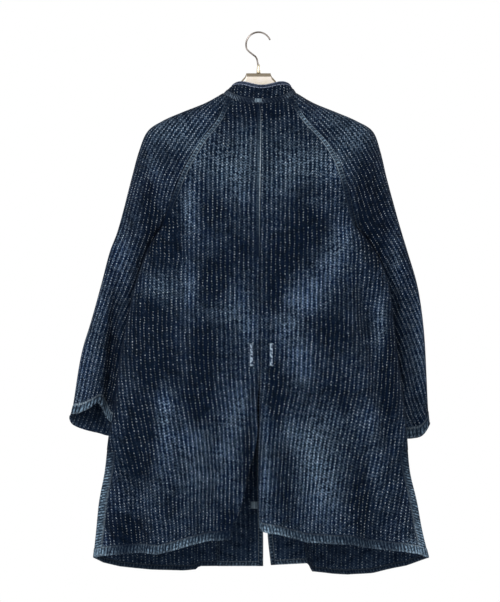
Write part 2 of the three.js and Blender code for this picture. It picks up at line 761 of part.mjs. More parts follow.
function add(group, name, geometry, material) {
  const mesh = new THREE.Mesh(geometry, material);
  mesh.name = name;
  group.add(mesh);
  return mesh;
}

const ARMPIT_ROW = RAGLAN_ROWS;
const CUFF_ROW = RAGLAN_ROWS + SLEEVE_ROWS;
const seam = (first, firstColumn, second, secondColumn, from, to) => joinNormals(
  first, columnOf(first, firstColumn, from, to),
  second, columnOf(second, secondColumn, from, to),
);

const sheets = {};
for (const side of [LEFT, RIGHT]) {
  const back = backSheet(side);
  const front = frontSheet(side);
  const sleeveBack = sleeveSheet(side, BACK);
  const sleeveFront = sleeveSheet(side, FRONT);
  seam(back, back.columns, sleeveBack, 0, 0, ARMPIT_ROW - 1);
  seam(front, front.columns, sleeveFront, 0, 0, ARMPIT_ROW - 1);
  seam(back, back.columns, front, front.columns, ARMPIT_ROW, BODY_ROWS);
  seam(sleeveBack, 0, sleeveFront, 0, ARMPIT_ROW, CUFF_ROW);
  seam(sleeveBack, SLEEVE_COLUMNS, sleeveFront, SLEEVE_COLUMNS, 0, CUFF_ROW);
  // Along the centre-back seam the two halves' walls share one plane.
  columnOf(back, 0, 0, BODY_ROWS)
    .filter((index) => back.points[index].z > CENTRE_SEAM_END_Z)
    .forEach((index) => back.normals[index].setX(0).normalize());
  sheets[side.name] = { back, front, sleeveBack };
  add(coat, `back_${side.name}`, back.wall(WALL), cloth());
  add(coat, `front_${side.name}`, front.wall(WALL), cloth());
  add(coat, `sleeve_back_${side.name}`, sleeveBack.wall(WALL), cloth());
  add(coat, `sleeve_front_${side.name}`, sleeveFront.wall(WALL), cloth());
  add(coat, `belt_loop_${side.name}`, loopGeometry(back, LOOP_X[side.name]), cloth());
}

// Each facing takes its front's first columns, moved in past the front's own wall.
for (const side of [LEFT, RIGHT]) {
  const { front } = sheets[side.name];
  const facing = new Sheet(BODY_ROWS, FACING_STEPS, (i, j) => front.points[front.index(i, j)], fromAxis);
  facing.normals = facing.points.map((_, index) => {
    const i = Math.floor(index / (FACING_STEPS + 1));
    return front.normals[front.index(i, index % (FACING_STEPS + 1))];
  });
  add(coat, `facing_${side.name}`, facing.wall(FACING_WALL, WALL + SEAM_GAP), cloth());
}

add(coat, "collar", collarSheet().wall(COLLAR_WALL), cloth());

for (let k = 0; k < BUTTON.count; k += 1) {
  const z = BUTTON.topZ - k * BUTTON.pitch;
  const button = add(coat, `button_${k + 1}`, buttonGeometry(), dark());
  placeButton(button, sheets.right.front, smooth(FRONT_EDGE, "z", "right", z) - BUTTON.inset, z);
}

// The line under each over-arm seam on which the hanger's arm carries the shoulder.
function seatLine({ sleeveBack }) {
  return columnOf(sleeveBack, SLEEVE_COLUMNS, 0, ARMPIT_ROW).map((index) => {
    const inside = sleeveBack.points[index].clone();
    inside.addScaledVector(sleeveBack.normals[index], -WALL - HANGER.seatGap);
    return { x: inside.x + COAT_X, y: inside.y, top: inside.z };
  });
}
add(part, "hanger_body", hangerGeometry([...seatLine(sheets.left), ...seatLine(sheets.right)]), cream());

const ferruleLength = FERRULE.topZ - FERRULE.bottomZ;
const ferrule = add(
  part,
  "hook_ferrule",
  new THREE.CylinderGeometry(FERRULE.radius, FERRULE.radius, ferruleLength, 16),
  plated(),
);
ferrule.rotation.x = Math.PI / 2;
ferrule.position.z = FERRULE.topZ - ferruleLength / 2;
add(part, "hanger_hook", hookGeometry(), plated());

export default part;
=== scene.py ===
import bmesh
import bpy
import numpy as np
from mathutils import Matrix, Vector


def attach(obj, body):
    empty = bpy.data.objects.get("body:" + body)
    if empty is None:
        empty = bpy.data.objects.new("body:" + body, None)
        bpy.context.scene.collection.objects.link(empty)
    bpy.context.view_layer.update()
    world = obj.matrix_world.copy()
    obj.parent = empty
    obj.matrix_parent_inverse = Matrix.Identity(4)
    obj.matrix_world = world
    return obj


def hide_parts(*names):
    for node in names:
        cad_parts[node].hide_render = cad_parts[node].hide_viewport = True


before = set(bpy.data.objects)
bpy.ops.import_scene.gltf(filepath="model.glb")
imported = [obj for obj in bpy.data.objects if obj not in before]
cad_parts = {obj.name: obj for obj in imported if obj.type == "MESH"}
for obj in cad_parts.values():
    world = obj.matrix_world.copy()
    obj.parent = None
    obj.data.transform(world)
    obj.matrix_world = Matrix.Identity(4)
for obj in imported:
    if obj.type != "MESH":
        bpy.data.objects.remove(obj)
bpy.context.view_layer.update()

# ---------------------------------------------------------------- camera, floor and light
# The coat hangs in a white studio, above a pale round floor. A large soft light stands behind its
# back, to the wearer's left, and a weaker one in front. The white surroundings fill the shadows.
FRAME_HEIGHT = 1.2642
FRAME_MIDDLE = Vector((0.01785, 0, -0.5628))
CAMERA_DISTANCE = 12.0
FLOOR_Z = -1.42
FLOOR_RADIUS = 1.05
FLOOR_SIDES = 96

camera = bpy.data.objects.new("camera", bpy.data.cameras.new("camera"))
camera.data.sensor_width = 36
camera.data.lens = camera.data.sensor_width * CAMERA_DISTANCE / FRAME_HEIGHT
camera.location = FRAME_MIDDLE + Vector((0, CAMERA_DISTANCE, 0))
camera.rotation_euler = Vector((0, -1, 0)).to_track_quat("-Z", "Y").to_euler()
bpy.context.scene.collection.objects.link(camera)
bpy.context.scene.camera = camera
bpy.context.scene.view_settings.view_transform = "Standard"


def soft_light(name, place, size, watts):
    """A square area light that faces the coat's middle."""
    light = bpy.data.objects.new(name, bpy.data.lights.new(name, "AREA"))
    light.data.size = size
    light.data.energy = watts
    light.location = place
    light.rotation_euler = (FRAME_MIDDLE - Vector(place)).to_track_quat("-Z", "Y").to_euler()
    bpy.context.scene.collection.objects.link(light)


soft_light("key light", (1.3, 2.9, 0.9), size=1.2, watts=60)
soft_light("front light", (-1.6, -3.0, 0.8), size=1.8, watts=40)
world = bpy.data.worlds.new("white studio")
world.use_nodes = True
world.node_tree.nodes["Background"].inputs["Color"].default_value = (1, 1, 1, 1)
world.node_tree.nodes["Background"].inputs["Strength"].default_value = 1.0
bpy.context.scene.world = world


def srgb(red, green, blue):
    """A colour given as 0 to 255 on a screen, as the light it stands for."""
    c = np.array([red, green, blue]) / 255
    light = np.where(c <= 0.04045, c / 12.92, ((c + 0.055) / 1.055) ** 2.4)
    return (*light.tolist(), 1.0)


def full_turn(count):
    """Angles evenly round a circle."""
    return np.linspace(0, 2 * np.pi, count, endpoint=False)


class Value:
    """A number inside a material, for formulas with + - and *."""

    def __init__(self, paint, socket):
        self.paint = paint
        self.socket = socket

    def __add__(self, other):
        return self.paint.math("add", self, other)

    def __sub__(self, other):
        return self.paint.math("subtract", self, other)

    def __mul__(self, other):
        return self.paint.math("multiply", self, other)


class Paint:
    """A new material with a Principled shader, and short calls that add nodes to it."""

    def __init__(self, name, **settings):
        self.material = bpy.data.materials.new(name)
        self.material.use_nodes = True
        self.nodes = self.material.node_tree.nodes
        self.shader = self.nodes["Principled BSDF"]
        for socket, value in settings.items():
            self.shader.inputs[socket.replace("_", " ")].default_value = value

    def put(self, value, socket):
        """Links a value or an output to a socket, or sets a plain number or colour on it."""
        if isinstance(value, Value):
            value = value.socket
        if isinstance(value, bpy.types.NodeSocket):
            self.material.node_tree.links.new(value, socket)
        else:
            socket.default_value = value

    def cover(self, colour):
        """Gives the shader its colour."""
        self.put(colour, self.shader.inputs["Base Color"])

    def node(self, kind, *inputs, **values):
        """A node with its first inputs in order, then its settings and other inputs by name."""
        made = self.nodes.new("ShaderNode" + kind)
        for name, value in values.items():
            if name in made.bl_rna.properties:
                setattr(made, name, value)
            else:
                self.put(value, made.inputs[name])
        for value, socket in zip(inputs, made.inputs):
            self.put(value, socket)
        return made

    def math(self, operation, *values):
        """A sum, product or function of the values."""
        return Value(self, self.node("Math", *values, operation=operation.upper()).outputs[0])

    def step(self, value, low, high, to_low=0.0, to_high=1.0):
        """Eases from to_low to to_high while value goes from low to high."""
        ends = (low, high, to_low, to_high)
        made = self.node("MapRange", value, *ends, interpolation_type="SMOOTHSTEP")
        return Value(self, made.outputs["Result"])

    def between(self, value, low, high):
        """The value, kept from low to high."""
        return self.math("minimum", self.math("maximum", value, low), high)

    def from_middle(self, value):
        """How far a value is from half-way between two whole numbers."""
        return self.math("absolute", self.math("fract", value) - 0.5)

    def vector(self, x, y):
        """The point x, y, 0."""
        return self.node("CombineXYZ", x, y).outputs[0]

    def noise(self, vector, scale, detail=2.0):
        """Clouds from 0 to 1, of which scale lie along one unit of the vector."""
        made = self.node("TexNoise", Vector=vector, Scale=scale, Detail=detail)
        return Value(self, made.outputs["Fac"])

    def chance(self, *cell):
        """A random value from 0 to 1 for each cell, numbered by one or two whole numbers."""
        if len(cell) == 1:
            made = self.node("TexWhiteNoise", noise_dimensions="1D", W=cell[0])
        else:
            made = self.node("TexWhiteNoise", noise_dimensions="2D", Vector=self.vector(*cell))
        return Value(self, made.outputs["Value"])

    def attribute(self, name):
        """A number that the mesh carries at each of its points."""
        return Value(self, self.node("Attribute", attribute_name=name).outputs["Fac"])

    def stitches(self):
        """The two coordinates of the UV map named stitches."""
        split = self.node("SeparateXYZ", self.node("UVMap", uv_map="stitches").outputs[0])
        return Value(self, split.outputs["X"]), Value(self, split.outputs["Y"])

    def place(self):
        """Where a point is in the object's own coordinates, in metres."""
        return self.node("TexCoord").outputs["Object"]

    def mix(self, factor, a, b):
        """From colour a to colour b by factor."""
        made = self.node("Mix", data_type="RGBA")
        for value, socket in ((factor, "Factor"), (a, 6), (b, 7)):
            self.put(value, made.inputs[socket])
        return made.outputs[2]

    def bump(self, height, distance, strength=1.0):
        """Makes the surface look raised by height, where 1 is distance in metres."""
        made = self.node("Bump", Height=height, Distance=distance, Strength=strength)
        self.put(made.outputs[0], self.shader.inputs["Normal"])


floor_paint = Paint("floor_paint", Roughness=0.7)
speckle = floor_paint.noise(floor_paint.place(), 9.0, 4.0)
floor_paint.cover(floor_paint.mix(speckle, srgb(247, 247, 246), srgb(252, 252, 252)))
turn = full_turn(FLOOR_SIDES)
rim = np.stack([FLOOR_RADIUS * np.cos(turn), FLOOR_RADIUS * np.sin(turn), 0 * turn + FLOOR_Z], 1)
floor = bpy.data.objects.new("floor", bpy.data.meshes.new("floor"))
floor.data.from_pydata(rim.tolist(), [], [list(range(FLOOR_SIDES))])
floor.data.materials.append(floor_paint.material)
bpy.context.scene.collection.objects.link(floor)

# ---------------------------------------------------------------- the back panels
# Two panels of heavy indigo cotton, quilted in close rows of pale running stitches, joined down
# the centre back by a felled seam that stops at the top of the vent.
MM = 0.001
COAT_X = -3  # the coat's middle hangs this far to the wearer's right of the hook
CLOTH_WALL = 1.8
ARMPIT_Z = -408
SIDE_HEM_Z = -1102
RAGLAN_ROWS = 9
SKIRT_ROWS = 21
HEM_ROW = RAGLAN_ROWS + SKIRT_ROWS
ARMPIT_S = 7
CUFF_S = 14
SIGN = {"left": 1, "right": -1, "back": 1, "front": -1}
BACKWARD, FORWARD = np.array([0, 1, 0]), np.array([0, -1, 0])
OUTWARD = {"back": BACKWARD, "front": FORWARD}
ROW_PITCH = 9.6  # between rows of running stitches
STITCH_PITCH = 5.4  # from one stitch to the next


def named(columns, rows):
    """A table's rows as one array for each named column."""
    return dict(zip(columns.split(), np.array(rows, float).T))


# All sizes are in millimetres. x goes to the wearer's left, y backward and z up. The tables of
# the raglan, underarm, over-arm and side seams and of the hems give x as a distance from the middle.
NECK = dict(
    half_width=77, half_depth=60, side_z=-126, back_drop=24, front_drop=68, corner=0, lean=0
)
# Angles round the neck from the middle of the back: of the raglan seams, and of the panels' inner
# edges.
SEAM_ANGLE = {"back": 60, "front": 124.5}
MIDDLE_ANGLE = {"back": 0, "front": 179.2}
NECK_REACH = 1.5
DEPTH = named("z back front", [
    [-140, 60, -60], [-250, 63, -61], [-400, 60, -57], [-600, 54, -52],
    [-800, 52, -51], [-1000, 55, -55], [-1130, 58, -59],
])
SIDE = named("z left right", [
    [-408, 207, 203], [-440, 228, 230], [-477, 244, 252], [-530, 262, 271], [-600, 278, 280],
    [-690, 295, 291], [-790, 307, 304], [-850, 318, 309], [-920, 326, 315], [-985, 338, 330],
    [-1045, 344, 341], [-1102, 350, 355],
])
RAGLAN = named("s back_left back_right back_y back_z front_left front_right front_y front_z", [
    [0, 66.7, 66.7, 30, -134.5, 63.5, 63.5, -34, -155],
    [1, 90, 99, 42, -184, 84, 86, -46, -200],
    [2, 123, 138, 46, -226, 112, 116, -50, -245],
    [3, 147, 163, 47, -264, 138, 143, -50, -285],
    [4, 163, 176, 45, -294, 158, 162, -46, -318],
    [5, 181, 188, 38, -337, 176, 178, -38, -352],
    [6, 195, 196, 22, -375, 194, 192, -22, -384],
    [7, 207, 203, 0, -408, 207, 203, 0, -408],
])
UNDERARM = named("s left right y z", [
    [7, 207, 203, 0, -408], [8, 223, 225, -24, -440], [9, 234, 240, -42, -480],
    [10, 245, 249, -52, -540], [11, 252, 248, -57, -610], [12, 258, 246, -60, -690],
    [13, 262, 242, -64, -765], [14, 265, 237, -66, -841],
])
CENTRE = {
    "back": named("z left right", [
        [-140, -4, -4], [-250, -2, -2], [-400, 0, 0], [-700, 0, 0], [-735, 1.5, 0], [-771, 5, 1],
        [-855, 7, 3], [-918, 21, 3], [-1002, 42, 3], [-1042, 59, 1], [-1067, 59, 0],
    ]),
    "front": named("z left right", [
        [-190, 1, -1], [-500, 0, -4], [-800, -3, -10], [-1052, -7, -16], [-1121, -7, -23],
    ]),
}
HEM = {
    "back_left": named("x z", [
        [59, -1061], [71, -1063], [107, -1065], [147, -1075], [189, -1087],
        [216, -1093], [248, -1090], [289, -1093], [335, -1098], [350, SIDE_HEM_Z],
    ]),
    "back_right": named("x z", [
        [0, -1036], [5, -1045], [15, -1048], [42, -1052], [71, -1060], [99, -1068], [155, -1071],
        [197, -1073], [225, -1080], [267, -1085], [300, -1088], [335, -1094], [355, SIDE_HEM_Z],
    ]),
    "front_left": named("x z", [
        [-7, -1122], [128, -1122], [135, -1129], [162, -1131], [229, -1130],
        [296, -1122], [330, -1113], [350, SIDE_HEM_Z],
    ]),
    "front_right": named("x z", [
        [23, -1120], [101, -1116], [110, -1134], [155, -1139], [185, -1140],
        [239, -1136], [267, -1129], [309, -1120], [335, -1110], [355, SIDE_HEM_Z],
    ]),
}
# Each fold runs from its top to its bottom point, with its half width and how far it stands out.
FOLD_COLUMNS = "top_x top_z bottom_x bottom_z width height"
FOLDS = {
    "back": named(FOLD_COLUMNS, [
        [-193, -430, -292, -960, 17, -26], [-236, -520, -318, -1180, 26, 9],
        [2, -690, 24, -1010, 15, -13], [150, -300, 146, -660, 15, 7],
        [206, -720, 218, -1300, 27, 13], [258, -800, 268, -1300, 22, -15],
        [124, -600, 112, -1300, 27, -11], [-150, -800, -168, -1300, 34, 12],
        [-66, -690, -84, -1300, 22, -9], [-232, -900, -246, -1300, 20, -12],
        [172, -400, 150, -640, 20, -9],
    ]),
    "front": named(FOLD_COLUMNS, [
        [196, -470, 236, -1300, 24, 12], [132, -620, 168, -1300, 24, -12],
        [-118, -560, -146, -1300, 28, 11], [-196, -520, -232, -1300, 26, -13],
        [88, -330, 60, -760, 22, 6], [-96, -330, -62, -720, 20, -6],
    ]),
}
# Smaller creases, which pull from the armpits and the shoulder blades and break over the hips.
CREASES = {
    "back": named(FOLD_COLUMNS, [
        [196, -398, 120, -560, 9, -3.2], [186, -410, 160, -600, 8, 2.4],
        [-190, -400, -128, -560, 9, -3.0], [-172, -420, -150, -640, 9, 2.6],
        [90, -260, 108, -520, 12, -2.4], [-96, -270, -104, -500, 13, -2.2],
        [52, -560, 64, -900, 11, 2.6], [-30, -500, -44, -760, 10, 2.2],
        [92, -760, 84, -1180, 10, 3.0], [166, -700, 172, -1200, 9, -3.4],
        [292, -760, 306, -1200, 9, 3.2], [-112, -760, -120, -1180, 10, -3.0],
        [-196, -820, -206, -1240, 9, 3.0], [-286, -860, -304, -1200, 8, -3.0],
        [-28, -820, -36, -1180, 10, 3.0], [238, -560, 250, -860, 11, 3.0],
        [-232, -600, -216, -800, 9, 2.6], [30, -170, 34, -330, 9, 1.6],
        [-46, -170, -40, -340, 10, -1.6],
    ]),
    "front": named(FOLD_COLUMNS, [
        [196, -400, 128, -580, 9, -3.2], [-190, -400, -126, -560, 9, -3.0],
        [176, -430, 152, -640, 9, 2.4], [-176, -420, -158, -650, 9, 2.6],
        [110, -300, 118, -560, 12, -2.2], [-112, -300, -120, -540, 12, 2.2],
        [100, -700, 92, -1200, 10, 2.8], [204, -760, 214, -1240, 9, -3.2],
        [276, -700, 292, -1240, 10, 3.2], [310, -820, 324, -1240, 8, -2.6],
        [-170, -700, -182, -1240, 10, -3.0], [-266, -640, -284, -1240, 10, 3.0],
        [-308, -820, -322, -1240, 8, -2.6], [-60, -620, -66, -1000, 12, -2.2],
        [48, -560, 54, -980, 12, 2.2],
    ]),
}


def mix(a, b, f):
    """a + (b - a) f."""
    return a + (b - a) * f


def ease(low, high, v):
    """3f^2 - 2f^3, where f goes from 0 at low to 1 at high."""
    f = np.clip((v - low) / (high - low), 0, 1)
    return f * f * (3 - 2 * f)


def sorted_columns(table, key, column):
    """Two columns, with the key column rising."""
    order = slice(None, None, 1 if table[key][0] < table[key][-1] else -1)
    return table[key][order], table[column][order]


def straight(table, key, column, at):
    """Straight lines between a column's values."""
    return np.interp(at, *sorted_columns(table, key, column))


def smooth(table, key, column, at):
    """A cubic through a column's values, each with the slope of the line through its neighbours."""
    keys, values = sorted_columns(table, key, column)
    here = np.arange(len(keys))
    before, after = np.maximum(here - 1, 0), np.minimum(here + 1, len(keys) - 1)
    slopes = (values[after] - values[before]) / (keys[after] - keys[before])
    k = np.clip(np.searchsorted(keys, at, "right") - 1, 0, len(keys) - 2)
    span = keys[k + 1] - keys[k]
    f = np.clip((at - keys[k]) / span, 0, 1)
    rise = f * f * (3 - 2 * f)
    ends = values[k] * (1 - rise) + values[k + 1] * rise
    return ends + span * ((f**3 - 2 * f**2 + f) * slopes[k] + (f**3 - f**2) * slopes[k + 1])


def oval(edge, angle):
    """An edge round the neck: x and y go with sine and cosine, and z dips with |cosine|^1.5."""
    c, s = np.cos(np.radians(angle)), np.sin(np.radians(angle))
    drop = np.where(c > 0, edge["back_drop"], edge["front_drop"]) * np.abs(c) ** 1.5
    z = edge["side_z"] - drop + edge["corner"] * (2 * s * c) ** 2
    return np.stack([edge["half_width"] * s + edge["lean"], edge["half_depth"] * c, z], -1)


def fold_height(folds, x, z):
    """The sum over the folds of height exp(-across^2), faded in and out along each fold."""
    total = np.zeros(np.broadcast(x, z).shape)
    for top_x, top_z, bottom_x, bottom_z, width, height in zip(*folds.values()):
        along = (z - top_z) / (bottom_z - top_z)
        across = (x - mix(top_x, bottom_x, along)) / width
        total += height * np.exp(-(across**2)) * ease(0, 0.35, along) * (1 - ease(0.75, 1, along))
    return total


def sleeve_s(row):
    """How far along the seam tables a row lies: 0 at the neck, 7 at the armpit."""
    return ARMPIT_S * np.minimum(row / RAGLAN_ROWS, 1)


def inner_seam(side, face, s):
    """The raglan seam down to the armpit, then the underarm seam."""
    above = np.minimum(s, ARMPIT_S)
    below = np.maximum(s, ARMPIT_S)
    raglan = [smooth(RAGLAN, "s", f"{face}_{column}", above) for column in (side, "y", "z")]
    underarm = [smooth(UNDERARM, "s", column, below) for column in (side, "y", "z")]
    seam = np.where(s[..., None] < ARMPIT_S, np.stack(raglan, -1), np.stack(underarm, -1))
    seam[..., 0] *= SIGN[side]
    return seam


def side_edge(side, face, row):
    """The body's outer edge: the raglan seam, then the side seam."""
    z = mix(ARMPIT_Z, SIDE_HEM_Z, np.maximum(row - RAGLAN_ROWS, 0) / SKIRT_ROWS)
    seam = np.stack([SIGN[side] * smooth(SIDE, "z", side, z), 0 * z, z], -1)
    return np.where(row[..., None] <= RAGLAN_ROWS, inner_seam(side, face, sleeve_s(row)), seam)


def body_section(side, face, row, share, stand_off=0.0):
    """A panel's points: x runs straight from the centre edge to the outer edge, and y follows a
    parabola over the shoulders and a rounder curve below, with the folds added."""
    edge = side_edge(side, face, row)
    hem, centre = HEM[f"{face}_{side}"], CENTRE[face]
    down = np.clip((row - RAGLAN_ROWS) / SKIRT_ROWS, 0, 1)
    hem_x = np.abs(mix(centre[side][-1], SIGN[side] * SIDE[side][-1], share))
    neck_z = oval(NECK, MIDDLE_ANGLE[face] if face == "back" else 180)[2]
    start_z = mix(neck_z, ARMPIT_Z, np.minimum(row / RAGLAN_ROWS, 1))
    centre_z = mix(start_z, hem["z"][0], down)
    centre_x = smooth(centre, "z", side, centre_z)
    skirt_z = mix(ARMPIT_Z, straight(hem, "x", "z", hem_x), down)
    z = np.where(down > 0, skirt_z, mix(centre_z, edge[..., 2], share))
    x = mix(centre_x, edge[..., 0], share)
    round_profile = np.sqrt(np.maximum(1 - share**2.2, 0))
    profile = mix(1 - share**2, round_profile, ease(5, 12, row))
    out = fold_height(FOLDS[face], x, z) + fold_height(CREASES[face], x, z) + stand_off
    y = mix(edge[..., 1], smooth(DEPTH, "z", face, z), profile)
    return np.stack([x, y + SIGN[face] * (1 - share**8) * out, z], -1)


def towards_neck(points, first_row, side, angle, s):
    """Puts the first row on the neck's oval. The rows below move less and less of the same way."""
    neck = oval(NECK, angle) * [SIGN[side], 1, 1]
    return points + (neck - first_row) * ((1 - np.minimum(s / NECK_REACH, 1)) ** 2)[..., None]


def body_points(side, face, row, share, stand_off=0.0):
    """A panel's points in millimetres, at any rows (0 at the neck) and shares of its width."""
    row, share = np.broadcast_arrays(np.asarray(row, float), np.asarray(share, float))
    points = body_section(side, face, row, share, stand_off)
    first = body_section(side, face, 0 * row, share)
    angle = mix(MIDDLE_ANGLE[face], SEAM_ANGLE[face], share)
    return towards_neck(points, first, side, angle, sleeve_s(row))


# Where sun, washing and rubbing have faded the cloth: middle, half width, half height and how much.
# A minus sign darkens the cloth: partly cloth that has kept its colour, partly painted shade along
# the soft folds and beside the armholes.
SPOT_COLUMNS = "x z width height amount"
FADES_AND_FOLD_SHADE = {
    "back": named(SPOT_COLUMNS, [
        [185, -208, 42, 29, 0.5], [-193, -216, 38, 29, 0.5], [-139, -178, 38, 21, 0.25],
        [115, -187, 29, 25, 0.25], [63, -288, 46, 34, 0.5], [29, -242, 25, 42, 0.3],
        [-63, -277, 42, 38, 0.55], [-114, -267, 29, 29, 0.4], [-156, -284, 25, 34, 0.4],
        [96, -246, 29, 29, 0.3], [134, -262, 19, 38, 0.4], [-25, -326, 38, 25, 0.3],
        [42, -334, 25, 29, 0.35], [147, -372, 15, 50, 0.75], [227, -284, 13, 38, 0.4],
        [-126, -359, 29, 15, 0.25], [-172, -435, 25, 42, 0.5], [-149, -481, 25, 29, 0.55],
        [-116, -527, 27, 23, 0.5], [-78, -561, 25, 23, 0.5], [-111, -567, 25, 19, 0.45],
        [-61, -615, 27, 29, 0.65], [-82, -670, 25, 25, 0.4], [-90, -712, 23, 25, 0.4],
        [23, -620, 21, 29, 0.4], [71, -592, 34, 19, 0.35], [42, -561, 21, 25, 0.3],
        [147, -540, 13, 46, 0.55], [210, -531, 34, 25, 0.4], [292, -456, 17, 71, 0.35],
        [336, -561, 17, 63, 0.25], [357, -655, 19, 63, 0.3], [384, -754, 19, 55, 0.45],
        [-252, -612, 13, 50, 0.65], [-286, -494, 10, 46, 0.35], [-338, -650, 16, 105, 0.36],
        [199, -808, 15, 76, 0.6], [42, -775, 23, 29, 0.55], [54, -821, 19, 25, 0.4],
        [71, -888, 23, 46, 0.35], [147, -855, 42, 38, 0.35], [134, -926, 34, 38, 0.3],
        [-13, -918, 8, 126, 0.4], [-109, -867, 32, 55, 0.6], [-130, -951, 42, 63, 0.6],
        [-67, -842, 21, 29, 0.35], [-151, -813, 21, 25, 0.4], [-231, -813, 25, 34, 0.3],
        [-240, -918, 19, 46, 0.25], [8, -964, 10, 38, 0.35], [231, -960, 50, 46, 0.15],
        [-324, -1077, 25, 19, 0.55], [336, -1065, 17, 25, 0.5], [-4, -166, 55, 21, -0.22],
        [80, -183, 25, 21, -0.15], [96, -376, 27, 34, -0.22], [-101, -397, 42, 46, -0.3],
        [-46, -472, 38, 46, -0.25], [-32, -540, 15, 38, -0.4], [94, -514, 29, 38, -0.32],
        [189, -435, 27, 50, -0.3], [42, -456, 34, 38, -0.15], [231, -628, 42, 63, -0.4],
        [210, -712, 42, 38, -0.25], [117, -655, 21, 46, -0.35], [126, -754, 23, 55, -0.4],
        [252, -859, 27, 71, -0.5], [-223, -330, 19, 55, -0.4], [-240, -405, 21, 71, -0.45],
        [-269, -712, 17, 92, -0.4], [-151, -632, 42, 50, -0.18], [-160, -754, 46, 34, -0.15],
        [-32, -754, 17, 59, -0.35], [-55, -960, 10, 76, -0.15], [-210, -981, 25, 71, -0.3],
        [231, -368, 13, 84, -0.4], [311, -712, 15, 84, -0.25], [277, -1044, 42, 38, -0.25],
        [25, -876, 10, 84, -0.2], [189, -993, 25, 25, -0.15], [62, -1040, 24, 40, -0.3],
    ]),
    "front": named(SPOT_COLUMNS, [
        [186, -216, 46, 30, 0.5], [-196, -218, 46, 30, 0.5], [120, -250, 30, 40, 0.4],
        [-126, -255, 30, 44, 0.4], [70, -330, 56, 70, 0.4], [-76, -340, 56, 70, 0.45],
        [150, -500, 40, 70, 0.3], [-160, -520, 40, 80, 0.35], [90, -660, 54, 80, 0.4],
        [-104, -640, 50, 90, 0.4], [196, -830, 40, 110, 0.45], [-140, -860, 66, 100, 0.5],
        [110, -940, 50, 90, 0.4], [-250, -900, 30, 110, 0.3], [300, -960, 26, 90, 0.3],
        [20, -600, 14, 300, 0.25], [-24, -620, 14, 300, 0.25], [294, -560, 14, 70, 0.4],
        [340, -700, 20, 60, 0.35], [-312, -540, 16, 60, 0.35], [-322, -700, 20, 60, 0.25],
        [220, -640, 50, 80, -0.35], [-230, -700, 30, 100, -0.35], [150, -1040, 50, 60, -0.2],
        [-60, -480, 40, 60, -0.2], [40, -800, 30, 90, -0.25], [-40, -980, 40, 70, -0.25],
        [238, -350, 24, 60, -0.4], [-238, -380, 24, 60, -0.4],
    ]),
}
FADE_LEVEL = 0.165
# Where the faded cloth has gone grey, and not blue.
GREY_LEVEL = 0.1
GREYED = named(SPOT_COLUMNS, [
    [0, -265, 150, 66, 1], [-190, -200, 60, 50, 0.8], [190, -200, 60, 40, 0.5],
    [-120, -880, 90, 110, 0.6], [200, -540, 50, 60, 0.5], [120, -960, 60, 70, 0.4],
    [60, -600, 40, 50, 0.4], [-340, -1080, 50, 60, 0.8], [0, -140, 90, 30, 0.8],
])


def soft_spots(table, points, level):
    """A level, plus amount exp(-(x/width)^2 - (z/height)^2) round the middle of each spot."""
    x, z = points[..., 0], points[..., 2]
    total = np.full(x.shape, float(level))
    for at_x, at_z, width, height, amount in zip(*table.values()):
        total += amount * np.exp(-(((x - at_x) / width) ** 2) - ((z - at_z) / height) ** 2)
    return np.clip(total, 0, 1)


def fade_and_shade_at(face, points):
    """How faded the cloth is, 0 to 1, and lower where painted shade darkens the folds and the
    armholes.
    """
    return soft_spots(FADES_AND_FOLD_SHADE[face], points, FADE_LEVEL)


def lengths(points, axis):
    """The length along the grid's rows (axis 1) or columns (axis 0), from its first edge."""
    steps = np.linalg.norm(np.diff(points, axis=axis), axis=-1)
    return np.cumsum(np.insert(steps, 0, 0, axis=axis), axis=axis)


def lengths_to_last(points, axis):
    """The same length, to the grid's last edge."""
    return np.flip(lengths(np.flip(points, axis), axis), axis)


def grid_normals(points, outward):
    """The cross product of the steps down and across the grid, turned to the side of outward."""
    normal = np.cross(np.gradient(points, axis=0), np.gradient(points, axis=1))
    normal /= np.maximum(np.linalg.norm(normal, axis=-1, keepdims=True), 1e-9)
    return normal * np.where((normal * outward).sum(-1, keepdims=True) < 0, -1, 1)


def new_piece(name, points, faces, materials, uv=None, values=None):
    """A mesh object from points in millimetres in the coat's frame, its faces and its layers."""
    mesh = bpy.data.meshes.new(name)
    mesh.from_pydata(((points + [COAT_X, 0, 0]) * MM).tolist(), [], faces)
    if uv is not None:
        layer = mesh.uv_layers.new(name="stitches")
        layer.data.foreach_set("uv", uv[np.ravel(faces)].astype(np.float32).ravel())
    for key, value in (values or {}).items():
        layer = mesh.attributes.new(key, "FLOAT", "POINT")
        layer.data.foreach_set("value", value.astype(np.float32).ravel())
    for material in materials:
        mesh.materials.append(material)
    mesh.polygons.foreach_set("use_smooth", [True] * len(mesh.polygons))
    piece = bpy.data.objects.new(name, mesh)
    bpy.context.scene.collection.objects.link(piece)
    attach(piece, "root")
    return piece


def grid_faces(rows, columns, flip):
    """The quads of a grid of that many points each way."""
    index = np.arange(rows * columns).reshape(rows, columns)
    quads = [index[:-1, :-1], index[1:, :-1], index[1:, 1:], index[:-1, 1:]]
    return np.stack(quads[::-1] if flip else quads, -1).reshape(-1, 4).tolist()


def cloth(name, points, outward, materials, uv, fade_and_shade, wall=CLOTH_WALL):
    """A sheet of cloth from a grid of outer points, given its thickness inwards by Solidify."""
    normal = np.cross(np.gradient(points, axis=0), np.gradient(points, axis=1))
    flip = (normal * outward).sum() < 0
    faces = grid_faces(*points.shape[:2], flip)
    layers = {"fade_and_shade": fade_and_shade, "grey": soft_spots(GREYED, points, GREY_LEVEL)}
    piece = new_piece(name, points.reshape(-1, 3), faces, materials, uv.reshape(-1, 2), layers)
    solid = piece.modifiers.new("wall", "SOLIDIFY")
    solid.thickness = wall * MM
    solid.offset = -1
    solid.material_offset = len(materials) - 1
    return piece


def flat_area(points):
    """A grid's area in square metres."""
    down, across = np.diff(points, axis=0)[:, :-1], np.diff(points, axis=1)[:-1]
    return float(np.linalg.norm(np.cross(down, across), axis=-1).sum()) * MM * MM


